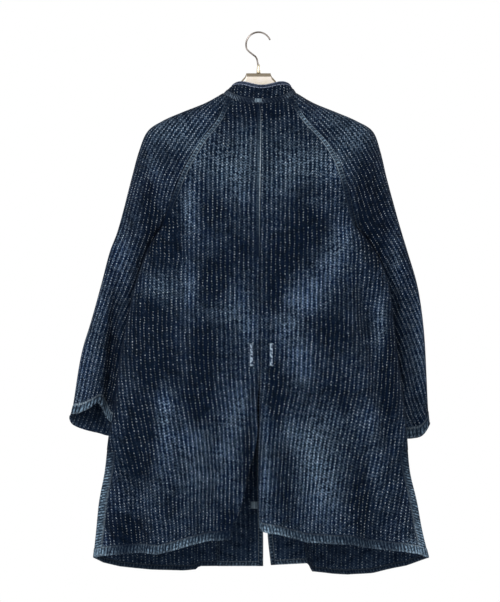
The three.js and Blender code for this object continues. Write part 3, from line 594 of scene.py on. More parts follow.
DULL_COTTON = dict(Roughness=0.95, Sheen_Weight=0.01, Sheen_Roughness=0.6, Specular_IOR_Level=0.02)


def stitched_cloth(name, ground, deep, blue, grey, worn, thread, fading=1.0):
    """Indigo cotton quilted in rows of running stitches. The UV map counts rows across and stitches
    along. Between two rows lies a dark groove. Where the cloth has faded, each row stands up as a
    rib of pale specks, crossed by a rung between each stitch and the next."""
    paint = Paint(name, **DULL_COTTON)
    x, y = paint.stitches()
    drift = paint.noise(paint.vector(x * 0.12, y * 0.06), 1.0, 1.0) - 0.5
    waver = paint.noise(paint.vector(x * 0.8, y * 0.3), 1.0, 1.0) - 0.5
    across = x + (drift * 0.5 + waver * 0.35)
    row = paint.math("floor", across)
    along = y + (paint.chance(row) + (drift * 2.2 + waver))
    chance = paint.chance(row, paint.math("floor", along))
    rung_chance = paint.chance(paint.math("floor", along + 0.5), row)
    aside = paint.from_middle(across)

    # In millimetres on the cloth: clouds of fading, patches, specks of worn weave.
    cloth_at = paint.vector(across * ROW_PITCH, along * STITCH_PITCH)
    cloud = paint.noise(cloth_at, 0.014) - 0.5
    patch = paint.noise(cloth_at, 0.07) - 0.5
    speck = paint.noise(cloth_at, 0.34)
    # The attribute brings the fading, with painted shade along the folds and beside the armholes.
    fade_and_shade = paint.attribute("fade_and_shade") + (cloud * 0.2 + patch * 0.22)
    fade_and_shade = paint.between(fade_and_shade * fading, 0.0, 1.0)

    # The ground, bluer or greyer where it has faded, with worn ribs and rungs.
    rib = paint.step(aside, 0.07, 0.29, 1.0, 0.0)
    wave = paint.math("cosine", along * (2 * np.pi)) * 0.5 + 0.5
    worn_rib = rib * (wave * -0.85 + 1.0) * paint.step(speck, 0.44, 0.54)
    rung = paint.math("power", wave, 2.5) * paint.step(aside, 0.08, 0.3, 0.15, 1.0)
    rung = rung * paint.step(aside, 0.4, 0.5, 1.0, 0.6)
    worn_rung = rung * (paint.math("power", rung_chance, 1.6) * 0.85)
    worn_weave = paint.math("minimum", worn_rib + worn_rung, 1.0)
    colour = paint.mix(paint.step(patch, -0.2, 0.1), deep, ground)
    bluer = fade_and_shade * paint.step(cloud, -0.12, 0.12, 0.35, 1.0)
    greyed = paint.step(paint.attribute("grey") + cloud * 0.8, 0.15, 0.75)
    colour = paint.mix(bluer * (rib * 0.4 + 0.12), colour, paint.mix(greyed, blue, grey))
    colour = paint.mix((fade_and_shade * 0.85 + 0.02) * worn_weave, colour, worn)

    # The stitches: short beads of thread, each a little aside of its row.
    aslant = (rung_chance - 0.5) * 0.2
    off_row = paint.math("absolute", paint.math("fract", across) - 0.5 + aslant)
    bead = paint.step(off_row, 0.04, 0.1, 1.0, 0.0)
    bead = bead * paint.step(paint.from_middle(along), 0.1, 0.2, 1.0, 0.0)
    bright = paint.math("power", chance, 1.4) * paint.step(patch + cloud, -0.25, 0.15, 0.4, 1.0)
    paint.cover(paint.mix(bead * bright * (fade_and_shade * 0.3 + 0.8), colour, thread))
    height = paint.step(aside, 0.1, 0.5, 1.0, 0.0) * 0.6 + bead * 0.45
    paint.bump(height + (rung * 0.25 + speck * 0.4), 0.0012, 0.9)
    return paint.material


NAVY = srgb(3, 13, 29)
DEEP_NAVY = srgb(2, 9, 21)
FADED_BLUE = srgb(10, 52, 106)
FADED_GREY = srgb(26, 52, 78)
outer_cloth = stitched_cloth(
    "sashiko_cotton", NAVY, DEEP_NAVY, FADED_BLUE, FADED_GREY,
    worn=srgb(138, 163, 187), thread=srgb(212, 221, 228),
)
# The inside is a paler copy of the same cloth: its lifted ground is painted light, which offsets the
# shade inside the coat.
inner_cloth = stitched_cloth(
    "sashiko_cotton_inside", srgb(15, 27, 44), NAVY, srgb(34, 60, 92), srgb(44, 60, 76),
    worn=srgb(112, 132, 150), thread=srgb(180, 192, 202), fading=0.8,
)
BACK_ROWS = 176
BACK_COLUMNS = 64
ROW_LEAN = 46
LEAN_TOP_Z, LEAN_BOTTOM_Z = -620, -1150
VENT_TOP_Z = -700
HEM_WEAR = dict(reach=16, amount=0.3)
VENT_WEAR = dict(reach=7, amount=0.1)


def body_uv(points, lean):
    """Rows of stitches run down each panel at even distances from the coat's middle. Where the hem
    swings out they lean towards the middle, so that the slanting edges cut them off."""
    across = lengths(points, 1)
    share = across / across[:, -1:]
    down = ease(LEAN_TOP_Z, LEAN_BOTTOM_Z, points[..., 2])
    across = across + np.abs(points[:, :1, 0]) + lean * down * (0.45 + 0.55 * ease(0, 0.5, share))
    return np.stack([across / ROW_PITCH, lengths(points, 0) / STITCH_PITCH], -1)


def cut_from(side, face, uv):
    """Each piece is cut from another place on the roll, so no two are alike."""
    return uv + [{"left": 0, "right": 150}[side], {"back": 0, "front": 400}[face]]


def edge_wear(points, distance, reach, amount):
    """Extra fading beside an edge, amount exp(-(distance/reach)^2), uneven along it."""
    waver = 0.6 + 0.4 * np.sin(points[..., 2] / 23 + points[..., 0] / 31)
    return amount * waver * np.exp(-((distance / reach) ** 2))


def cut_piece(name, node, points, outward, uv, fade_and_shade, materials=None, wall=CLOTH_WALL):
    """A piece of cloth that stands for a node of the frame."""
    piece = cloth(name, points, outward, materials or [outer_cloth, inner_cloth], uv, fade_and_shade, wall)
    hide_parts(node)
    sewn_on[name] = []
    return piece


back_grids = {}
sewn_on = {}
for side in ("left", "right"):
    row = np.linspace(0, HEM_ROW, BACK_ROWS)[:, None]
    share = (1 - (1 - np.linspace(0, 1, BACK_COLUMNS)) ** 1.2)[None, :]
    points = body_points(side, "back", row, share)
    back_grids[side] = points
    fade_and_shade = fade_and_shade_at("back", points) + edge_wear(points, lengths_to_last(points, 0), **HEM_WEAR)
    beside_vent = ease(VENT_TOP_Z, VENT_TOP_Z - 100, points[..., 2])
    fade_and_shade += edge_wear(points, lengths(points, 1), **VENT_WEAR) * beside_vent
    uv = cut_from(side, "back", body_uv(points, ROW_LEAN))
    cut_piece(f"back_panel_{side}", f"back_{side}", points, BACKWARD, uv, fade_and_shade)

# ---------------------------------------------------------------- the sleeves
# Raglan sleeves of the same cloth, each cut in a back and a front half that meet along the top of
# the shoulder and under the arm. Their rows of stitches slant down to the over-arm seam, which
# cuts them off.
OVER_ARM = named("s left right y z", [
    [0, 77, 77, 0, -126], [1, 115, 113, -1, -147], [2, 164, 161, -3, -166.5],
    [3, 204, 202, -6, -184], [4, 236, 237, -9, -206], [5, 254, 253, -12, -247],
    [6, 270, 267, -16, -305], [7, 288, 286, -21, -375], [8, 301, 299, -26, -420],
    [9, 317, 312, -32, -462], [10, 335, 332, -42, -530], [11, 356, 344, -51, -605],
    [12, 382, 351, -58, -690], [13, 397, 356, -65, -770], [14, 402, 359, -68, -810],
])
SLEEVE_SECTION = named("s bulge closed", [
    [0, 0, 0], [3, 0, 0], [4, 4, 0], [5, 10, 0.15], [6, 18, 0.45], [7, 28, 0.85],
    [8, 34, 1], [9, 38, 1], [10, 38, 1], [12, 33, 1], [14, 28, 1],
])
FULLNESS = {"back": 0.8, "front": 1.1}
CUFF = named("u back_left front_left back_right front_right", [
    [0, -841, -841, -850, -850], [0.3, -830, -851, -852, -849], [0.45, -811, -848, -853, -846],
    [0.53, -777, -843, -853, -844], [0.62, -786, -838, -853, -842],
    [0.75, -799, -830, -848, -838], [0.88, -801, -821, -832, -829], [1, -808, -808, -819, -819],
])
SLEEVE_FOLDS = {
    "back_left": named(FOLD_COLUMNS, [
        [300, -480, 333, -960, 9, -20], [286, -330, 300, -640, 14, -8],
        [252, -240, 276, -420, 10, 2.2], [330, -560, 366, -900, 9, 3.0],
        [244, -260, 252, -430, 7, -2.4], [318, -430, 346, -620, 7, -2.4],
        [276, -500, 296, -900, 8, 3.0], [344, -600, 384, -860, 7, -2.2],
        [200, -190, 226, -300, 12, -1.8], [176, -176, 196, -330, 10, 1.6],
    ]),
    "back_right": named(FOLD_COLUMNS, [
        [-262, -330, -288, -620, 13, -11], [-322, -560, -330, -900, 13, -9],
        [-250, -240, -270, -420, 10, 2.0], [-300, -480, -312, -800, 9, 3.0],
        [-244, -260, -250, -430, 7, -2.4], [-310, -400, -330, -600, 7, -2.2],
        [-284, -620, -296, -900, 8, -3.0], [-344, -640, -350, -860, 7, 2.2],
        [-200, -190, -226, -300, 12, -1.8], [-176, -176, -192, -330, 10, 1.6],
    ]),
    "front_left": named(FOLD_COLUMNS, [
        [270, -380, 300, -700, 11, -3.4], [310, -480, 340, -900, 10, 3.0],
        [330, -420, 372, -860, 9, -2.8], [238, -300, 262, -470, 10, -3.0],
        [290, -600, 306, -900, 9, 2.6], [200, -190, 222, -320, 12, -1.8],
    ]),
    "front_right": named(FOLD_COLUMNS, [
        [-270, -380, -290, -700, 11, -3.4], [-306, -480, -322, -900, 10, 3.0],
        [-322, -420, -342, -860, 9, -2.8], [-238, -300, -256, -470, 10, -3.0],
        [-274, -600, -282, -900, 9, 2.6], [-200, -190, -222, -320, 12, -1.8],
    ]),
}
SLEEVE_COLUMNS = 46
SHOULDER_ROWS = 56
ARM_ROWS = 90
SLEEVE_FIRST_ROW = 60
FOLD_WEAR = dict(reach=14, amount=0.35)
# The angle of the rows of stitches below level, from the neck to the cuff.
ROW_ANGLE = named("s left right", [
    [0, 56, 48], [3, 58, 52], [5, 66, 59], [7, 72, 61], [9, 71, 62], [12, 74, 64], [14, 78, 66],
])


def over_arm(side, s):
    """The seam along the top of the shoulder and the outside of the arm."""
    seam = [smooth(OVER_ARM, "s", column, s) for column in (side, "y", "z")]
    return np.stack([SIGN[side] * seam[0], seam[1], seam[2]], -1)


def cut_off(side, s):
    """How far the over-arm seam has cut into the rows: the sum of its steps across them, each x and
    z times the sine and cosine of their angle."""
    seam = over_arm(side, s)
    x_step, _, z_step = np.diff(seam, axis=0, prepend=seam[:1]).T
    angle = np.radians(smooth(ROW_ANGLE, "s", side, s))
    return -np.cumsum(SIGN[side] * x_step * np.sin(angle) + z_step * np.cos(angle))


def sleeve_section(side, face, s, u):
    """Over the shoulder a quarter of an oval from the inner seam (u 0) to the over-arm seam (u 1).
    Past the armpit it closes to half an oval, which stands off by bulge sin(pi u)."""
    inner, outer = inner_seam(side, face, s), over_arm(side, s)
    sine, cosine = np.sin(u * np.pi / 2), np.cos(u * np.pi / 2)
    quarter = np.stack([
        mix(inner[..., 0], outer[..., 0], sine),
        mix(outer[..., 1], inner[..., 1], cosine),
        mix(inner[..., 2], outer[..., 2], sine),
    ], -1)
    half = mix(inner, outer, ((1 - np.cos(u * np.pi)) / 2)[..., None])
    points = mix(quarter, half, straight(SLEEVE_SECTION, "s", "closed", s)[..., None])
    bulge = FULLNESS[face] * smooth(SLEEVE_SECTION, "s", "bulge", s)
    points[..., 1] += SIGN[face] * bulge * np.sin(u * np.pi)
    return points


def sleeve_points(side, face, s, u):
    """A sleeve half's points, its last rows moved up or down to the cuff's edge, with its folds."""
    s, u = np.broadcast_arrays(np.asarray(s, float), np.asarray(u, float))
    points = sleeve_section(side, face, s, u)
    first = sleeve_section(side, face, 0 * s, u)
    points = towards_neck(points, first, side, mix(SEAM_ANGLE[face], 90, u), s)
    cuff = smooth(CUFF, "u", f"{face}_{side}", u)
    points[..., 2] = mix(points[..., 2], cuff, ease(11.5, CUFF_S, s))
    out = fold_height(SLEEVE_FOLDS[f"{face}_{side}"], points[..., 0], points[..., 2])
    points[..., 1] += SIGN[face] * out * np.sin(u * np.pi)
    return points


sleeve_grids = {}
for side in ("left", "right"):
    for face in ("back", "front"):
        s = np.concatenate([
            np.linspace(0, ARMPIT_S, SHOULDER_ROWS)[:-1], np.linspace(ARMPIT_S, CUFF_S, ARM_ROWS)
        ])
        points = sleeve_points(side, face, s[:, None], np.linspace(0, 1, SLEEVE_COLUMNS)[None, :])
        sleeve_grids[face, side] = points
        across = (lengths_to_last(points, 1) + cut_off(side, s)[:, None]) / ROW_PITCH
        along = lengths(points, 0) / STITCH_PITCH
        uv = cut_from(side, face, np.stack([across + SLEEVE_FIRST_ROW, along], -1))
        fade_and_shade = fade_and_shade_at(face, points) + edge_wear(points, lengths_to_last(points, 0), **FOLD_WEAR)
        cut_piece(
            f"sleeve_{face}_half_{side}", f"sleeve_{face}_{side}",
            points, OUTWARD[face], uv, fade_and_shade,
        )

# ---------------------------------------------------------------- the fronts
# Two fronts that hang edge to edge, unbuttoned. Each drops a little deeper past its stiff facing.
FACING = {"left": 97, "right": 80}
STEP_START = {"left": 137, "right": 83}
STEP_WIDTH = 8
STEP_DEPTH = 9
STEP_TOP_ROW = 19
FACING_SHARE = 0.62
FRONT_ROWS = 180
COLUMNS_TO_STEP, COLUMNS_PAST_STEP = 24, 44
FRONT_EDGE_WEAR = dict(reach=8, amount=0.4)


def front_layout(side, row):
    """The shares of a front's width at its facing's edge and at the start and end of the step."""
    edge = side_edge(side, "front", row)
    width = np.abs(edge[..., 0] - smooth(CENTRE["front"], "z", side, edge[..., 2]))
    scale = np.minimum(1, FACING_SHARE * width / STEP_START[side]) / width
    return FACING[side] * scale, STEP_START[side] * scale, (STEP_START[side] + STEP_WIDTH) * scale


def front_points(side, row, share):
    """A front panel's points, with the step beside its facing."""
    row, share = np.broadcast_arrays(np.asarray(row, float), np.asarray(share, float))
    _, start, end = front_layout(side, row)
    past_start = np.clip((share - start) / (end - start), 0, 1)
    step = STEP_DEPTH * ease(STEP_TOP_ROW, HEM_ROW, row) * past_start
    return body_points(side, "front", row, share, step)


front_grids = {}
for side in ("left", "right"):
    row = np.linspace(0, HEM_ROW, FRONT_ROWS)[:, None]
    _, start, end = front_layout(side, row)
    past = 1 - (1 - np.linspace(0, 1, COLUMNS_PAST_STEP)[None, 1:]) ** 1.2
    share = np.concatenate([
        start * np.linspace(0, 1, COLUMNS_TO_STEP)[None, :],
        mix(start, end, np.array([[0.33, 0.67, 1.0]])),
        mix(end, 1, past),
    ], 1)
    points = front_points(side, row, share)
    front_grids[side] = points
    fade_and_shade = fade_and_shade_at("front", points) + edge_wear(points, lengths_to_last(points, 0), **HEM_WEAR)
    fade_and_shade += edge_wear(points, lengths(points, 1), **FRONT_EDGE_WEAR)
    uv = cut_from(side, "front", body_uv(points, ROW_LEAN))
    cut_piece(f"front_panel_{side}", f"front_{side}", points, FORWARD, uv, fade_and_shade)

# ---------------------------------------------------------------- the facings
# A strip of the same cloth behind each front's edge, sewn to it down the edge and along the hem.
FACING_INSET = 2.3
FACING_WALL = 1.2
FACING_FADE = 0.2
FACING_ROWS = 150
FACING_COLUMNS = 20
facing_grids = {}
for side in ("left", "right"):
    row = np.linspace(0, HEM_ROW, FACING_ROWS)[:, None]
    share = front_layout(side, row)[0] * np.linspace(0.004, 1, FACING_COLUMNS)[None, :]
    points = front_points(side, row, share)
    points = points - grid_normals(points, FORWARD) * FACING_INSET
    facing_grids[side] = points
    fade_and_shade = FACING_FADE + edge_wear(points, lengths(points, 1), **FRONT_EDGE_WEAR)
    fade_and_shade += edge_wear(points, lengths_to_last(points, 0), **FOLD_WEAR)
    cut_piece(
        f"facing_strip_{side}", f"facing_{side}", points, FORWARD,
        body_uv(points, 0), fade_and_shade, [inner_cloth, inner_cloth], FACING_WALL,
    )

# ---------------------------------------------------------------- the collar
# A low stand collar of two layers, its top edge rolled and topstitched. It leans to the wearer's
# right, and stands up a little at its rounded back corners.
COLLAR_TOP = dict(
    half_width=57, half_depth=49, side_z=-106, back_drop=4, front_drop=44, corner=6, lean=-3.5
)
COLLAR_WALL = 2.8
COLLAR_ROWS = 12
COLLAR_COLUMNS = 220
COLLAR_FOOT_SCALE = 0.985
COLLAR_FOOT_DROP = 1.5
COLLAR_PUFF = 0.7
COLLAR_FADE = 0.07
COLLAR_WEAR = dict(reach=4, amount=0.3)
ROLLED_WIDTH = 0.9
angle = np.linspace(-MIDDLE_ANGLE["front"], MIDDLE_ANGLE["front"], COLLAR_COLUMNS)
base = oval(NECK, angle) * [COLLAR_FOOT_SCALE, COLLAR_FOOT_SCALE, 1] - [0, 0, COLLAR_FOOT_DROP]
rise = np.linspace(0, 1, COLLAR_ROWS)[:, None, None]
points = mix(base[None], oval(COLLAR_TOP, angle)[None], rise)
# The two layers puff out a little between the seam and the topstitching.
outward = points * [1, 1, 0]
points = points + grid_normals(points, outward) * COLLAR_PUFF * np.sin(np.pi * rise**0.8)
collar_grid = points
across = lengths(points, 1)
middle = COLLAR_COLUMNS // 2
across -= across[:, middle - 1:middle + 1].mean(1, keepdims=True)
uv = np.stack([across / ROW_PITCH, lengths(points, 0) / STITCH_PITCH], -1)
fade_and_shade = COLLAR_FADE + edge_wear(points, lengths_to_last(points, 0), **COLLAR_WEAR)
collar = cut_piece(
    "stand_collar", "collar", points, outward, uv, fade_and_shade, wall=COLLAR_WALL
)
edge = collar.modifiers.new("rolled edge", "BEVEL")
edge.width = ROLLED_WIDTH * MM
edge.segments = 2
edge.limit_method = "ANGLE"
edge.angle_limit = np.radians(50)

# ---------------------------------------------------------------- belt loops
# Two short loops of the same cloth, folded in three, worn pale, and tacked at both ends.
LOOP_WIDTH = 8.5
LOOP_LENGTH = 48
LOOP_TOP_Z = -651
LOOP_WALL = 1.6
LOOP_X = {"left": 18, "right": -24}
LOOP_FIRST_STITCH = {"left": 0, "right": 40}
# How far a loop lies off the panel at its ends, arches between them, and puffs out along its middle.
LOOP_GAP, LOOP_ARCH, LOOP_PUFF = 0.5, 2.2, 0.35
BAR_WIDTH = 10.4
BAR_HEIGHT = 2.6
BAR_INSET = 2
BAR_THREADS = 16


def row_and_share(side, face, x, z):
    """Where a panel has a given x and z: its rows are halved until the point there has that z."""
    low, high = 0 * x, 0 * x + HEM_ROW
    for _ in range(18):
        row = (low + high) / 2
        first, last = (body_points(side, face, row, at)[..., 0] for at in (0, 1))
        share = np.clip((x - first) / (last - first), 0, 1)
        lower = body_points(side, face, row, share)[..., 2] < z
        low, high = np.where(lower, low, row), np.where(lower, row, high)
    return row, share


def on_panel(side, face, x, z, lift):
    """Points of a panel's outer surface at given x and z, raised by lift along its normal."""
    x, z = np.broadcast_arrays(np.asarray(x, float), np.asarray(z, float))
    row, share = row_and_share(side, face, x, z)

    def at(down, over):
        return body_points(side, face, row + down, share + over)

    normal = np.cross(at(0, 0.008) - at(0, 0), at(0.05, 0) - at(-0.05, 0))
    normal /= np.linalg.norm(normal, axis=-1, keepdims=True)
    normal *= np.sign(normal[..., 1:2]) * SIGN[face]
    return at(0, 0) + normal * np.asarray(lift)[..., None]


def rubbed_cotton(name, pale, flecks):
    """Cotton worn nearly white, with dark flecks left between its threads and along its sides."""
    paint = Paint(name, Roughness=0.95, Specular_IOR_Level=0.02)
    x, y = paint.stitches()
    speck = paint.noise(paint.vector(x * 0.8, y), 1.1, 3.0)
    sides = paint.step(paint.math("absolute", x), 0.4, 0.9)
    dark = paint.math("maximum", paint.step(speck, 0.6, 0.42), sides)
    paint.cover(paint.mix(dark, pale, flecks))
    paint.bump(speck + sides * -0.6, 0.0008, 0.8)
    return paint.material


def thread_cover(name, light, dark):
    """Threads laid side by side. The UV map counts threads across."""
    paint = Paint(name, Roughness=0.85, Sheen_Weight=0.02, Specular_IOR_Level=0.05)
    x, y = paint.stitches()
    middle = paint.from_middle(x)
    wear = paint.noise(paint.vector(x, y * 2.0), 1.2)
    shade = paint.math("minimum", paint.chance(paint.math("floor", x)) * 0.5 + wear * 0.6, 1.0)
    paint.cover(paint.mix(paint.step(middle, 0.5, 0.2) * shade, dark, light))
    paint.bump(paint.step(middle, 0.5, 0.0), 0.0006, 0.8)
    return paint.material


def tack(name, host, points, count, outward, wall=0.7):
    """A small block of close stitches on a grid of points, count threads side by side."""
    rows, columns = points.shape[:2]
    uv = np.stack(np.meshgrid(np.linspace(0, count, columns), np.linspace(0, 1, rows)), -1)
    block = cloth(name, points, outward, [tack_thread], uv, np.ones(uv.shape[:2]), wall)
    sewn_on[host].append(block)


thread_plain = Paint("navy_thread", Roughness=0.8)
fibres = thread_plain.noise(thread_plain.place(), 1500.0)
thread_plain.cover(thread_plain.mix(fibres, srgb(20, 30, 46), srgb(60, 76, 96)))
loop_cotton = rubbed_cotton("rubbed_cotton", srgb(150, 166, 182), srgb(26, 40, 60))
tack_thread = thread_cover("tack_thread", srgb(140, 158, 170), srgb(24, 40, 60))
for side in ("left", "right"):
    along, across = np.meshgrid(np.linspace(0, 1, 25), np.linspace(-0.5, 0.5, 7), indexing="ij")
    arch = LOOP_GAP + LOOP_ARCH * np.sin(np.pi * along) ** 0.7
    arch += LOOP_PUFF * np.cos(np.pi * across) ** 2
    x = LOOP_X[side] + across * LOOP_WIDTH
    points = on_panel(side, "back", x, LOOP_TOP_Z - along * LOOP_LENGTH, arch + LOOP_WALL)
    stitches_down = along * LOOP_LENGTH / STITCH_PITCH + LOOP_FIRST_STITCH[side]
    loop = cut_piece(
        f"loop_{side}", f"belt_loop_{side}", points, BACKWARD,
        np.stack([across * 2.0, stitches_down], -1), np.ones(along.shape), [loop_cotton], LOOP_WALL,
    )
    sewn_on[f"back_panel_{side}"].append(loop)
    # A bar of close stitches holds the loop down at each end.
    bottom_z = LOOP_TOP_Z - LOOP_LENGTH
    for end, z in (("top", LOOP_TOP_Z - BAR_INSET), ("bottom", bottom_z + BAR_INSET)):
        high = np.linspace(-0.5, 0.5, 4)[:, None] * BAR_HEIGHT
        wide = np.linspace(-0.5, 0.5, 13)[None, :] * BAR_WIDTH
        over = 0.8 + 2.0 * ease(5.0, 3.8, np.abs(wide))
        bar = on_panel(side, "back", LOOP_X[side] + wide, z + high, over + 0 * high)
        tack(f"loop_bar_{end}_{side}", f"back_panel_{side}", bar, BAR_THREADS, BACKWARD)

# ---------------------------------------------------------------- felled seams, hems and edges
# Where two pieces meet, one edge is folded over the other and stitched down twice, so the seam
# lies up as a band. Hems and edges are turned in and stitched, and their folds have worn pale.
SEAM_WIDTH = 12
CENTRE_SEAM_WIDTH = 8
NARROW_SEAM_WIDTH = 6
SIDE_BAND_WIDTH = 30
SIDE_BAND_TOP_Z = -880
CENTRE_SEAM_END_Z = -470
HEM_WIDTH = 21
CUFF_WIDTH = 26
EDGE_WIDTH = 11
NECK_WIDTH = 12
COLLAR_RIM = 8
BAND_WALL = 0.8
BAND_LIFT = 0.9
NECK_TACK_ANGLE, NECK_TACK_REACH, NECK_TACK_LIFT, NECK_TACK_THREADS = 4, 6.5, 1.9, 6
WORN_COTTON = srgb(118, 142, 162)
TOP_THREAD = srgb(172, 188, 200)
# Across a band: the places from its outer edge to its inner one, and how far each is lifted.
BAND_ACROSS = np.array([0, 0.04, 0.12, 0.25, 0.5, 0.75, 0.88, 0.96, 1])
BAND_RISE = np.array([-0.2, 0.5, 0.9, 1, 1, 1, 0.9, 0.5, -0.2])


def band_cloth(name, ladder, rungs, folded, lines, worn=WORN_COTTON, thread=TOP_THREAD):
    """Folded cotton. The UV map goes 0 to 1 across the band and counts stitches along it. A line
    of topstitching runs inside each edge, as strong as lines says. Between them lie pale rungs,
    `rungs` to a stitch and as strong as ladder says, no two alike. Both folds are worn as pale as
    folded says, all of it in specks."""
    paint = Paint(name, **DULL_COTTON)
    across, along = paint.stitches()
    middle = paint.math("absolute", across - 0.5)
    fade_and_shade = paint.attribute("fade_and_shade")
    cloth_at = paint.vector(across * 2.4, along)
    blotch = paint.noise(cloth_at, 0.16, 3.0) - 0.5
    grain = paint.noise(cloth_at, 1.9) - 0.5

    sway = (along + blotch * 1.6) * rungs + across * 0.35
    chance = paint.chance(paint.math("floor", sway))
    rung = paint.step(paint.from_middle(sway), 0.18, 0.4, 1.0, 0.0)
    rung = rung * paint.step(across + chance * 0.35, 0.75, 1.15, 1.0, 0.0) * (chance + 0.45)
    folds = paint.step(middle, 0.34, 0.48) * paint.step(across, 0.45, 0.55, *folded)
    pale = ((rung * ladder + folds) + blotch * 0.9) * paint.step(grain, -0.1, 0.1, 0.1, 1.1)
    pale = paint.math("maximum", (pale + 0.06) * fade_and_shade, 0.0)
    colour = paint.mix(paint.math("minimum", pale, 0.9), NAVY, worn)

    off_line = paint.math("absolute", middle - 0.37)
    line = paint.step(off_line, 0.05, 0.1, 1.0, 0.0) * paint.step(across, 0.45, 0.55, *lines)
    shown = line * paint.step(grain, -0.14, 0.12, 0.15, 0.8) * fade_and_shade
    paint.cover(paint.mix(paint.math("minimum", shown, 1.0), colour, thread))
    height = rung * 0.6 + paint.step(off_line, 0.0, 0.1) * 0.4
    paint.bump(height + (line * 0.2 + grain * 0.5), 0.0012, 0.9)
    return paint.material


# Each says how strong the ladder is, its rungs to a stitch, the outer and inner fold, and the
# outer and inner line of topstitching.
seam_cloth = band_cloth("felled_cotton", 0.8, 0.8, (0.3, 0.3), (0.6, 0.6))
hem_cloth = band_cloth("hemmed_cotton", 1.0, 0.74, (0.35, 0.0), (0.2, 0.25))
cuff_cloth = band_cloth("cuff_cotton", 1.1, 0.62, (0.3, 0.3), (0.3, 0.6))
side_cloth = band_cloth("side_band_cotton", 1.0, 0.9, (0.3, 0.0), (0.2, 0.2))
centre_cloth = band_cloth("centre_seam_cotton", 0.45, 1.0, (0.3, 0.3), (1.6, 0.0))
neck_cloth = band_cloth(
    "neck_seam_cotton", 0.9, 0.8, (0.1, 0.1), (0.0, 0.2), worn=srgb(116, 132, 148)
)
rim_cloth = band_cloth(
    "collar_rim_cotton", 0.4, 1.0, (0.7, 0.5), (1.0, 1.0),
    worn=srgb(112, 126, 152), thread=srgb(160, 170, 196),
)


def beside(points, edge, distances):
    """Points at the given distances in from one edge of a grid: each line of the grid that ends
    there is sampled by its length."""
    lines = {
        "first column": points,
        "last column": points[:, ::-1],
        "first row": points.transpose(1, 0, 2),
        "last row": points.transpose(1, 0, 2)[:, ::-1],
    }[edge]
    reach = lengths(lines, 1)
    return np.array([
        np.stack([np.interp(distances, d, line[:, k]) for k in range(3)], -1)
        for d, line in zip(reach, lines)
    ])


def band(
    name, host, points, edge, outward, width, fade_and_shade, face="back", worn=None, material=seam_cloth
):
    """A band of cloth on a grid of cloth, beside one of its edges. Across, it rises from just under
    the cloth to its full lift and down again. `worn` is a table of places that are worn paler."""
    flat = beside(points, edge, BAND_ACROSS * width)
    raised = flat + grid_normals(flat, outward) * (BAND_LIFT * BAND_RISE)[None, :, None]
    along = lengths(raised, 0) / STITCH_PITCH
    uv = np.stack([np.broadcast_to(BAND_ACROSS, along.shape), along], -1)
    # Half of the panels' fading, and of their painted shade along folds and by the armholes, shows
    # here.
    amount = fade_and_shade + 0.5 * (fade_and_shade_at(face, raised) - FADE_LEVEL)
    if worn:
        amount = amount + 1.2 * soft_spots(worn, raised, 0)
    made = cloth(name, raised, outward, [material], uv, np.clip(amount, 0, 1.5), BAND_WALL)
    sewn_on[host].append(made)


# Where the bands are rubbed palest, as in the tables of faded places.
RUBBED_RAGLANS = named(SPOT_COLUMNS, [
    [-96, -190, 26, 26, 0.7], [-130, -240, 26, 34, 0.8], [-156, -285, 20, 26, 0.5],
    [92, -190, 30, 30, 0.35], [128, -235, 30, 40, 0.45], [150, -300, 24, 36, 0.3],
])
RUBBED_CENTRE = named(SPOT_COLUMNS, [[0, -290, 20, 90, 0.7]])
RUBBED_NECK = named(SPOT_COLUMNS, [
    [61, -136, 20, 16, 0.45], [-62, -134, 14, 14, 0.4], [2, -146, 14, 14, 0.4],
])
RUBBED_HEMS = named(SPOT_COLUMNS, [
    [155, -1075, 60, 20, 0.48], [230, -1090, 30, 20, 0.22], [-40, -1054, 40, 20, 0.3],
    [-130, -1070, 50, 20, 0.25], [-260, -1085, 60, 20, 0.1], [-12, -1040, 22, 22, 0.6],
    [-334, -1093, 14, 12, 1.0], [338, -1092, 14, 12, 0.9], [-332, -1056, 26, 44, 1.0],
    [-322, -960, 20, 50, 0.5], [335, -1040, 26, 60, 0.6], [326, -950, 20, 60, 0.5],
])
RUBBED_CUFFS = named(SPOT_COLUMNS, [
    [372, -790, 34, 26, 0.55], [322, -800, 16, 26, 0.3], [-330, -842, 30, 20, 0.12],
])
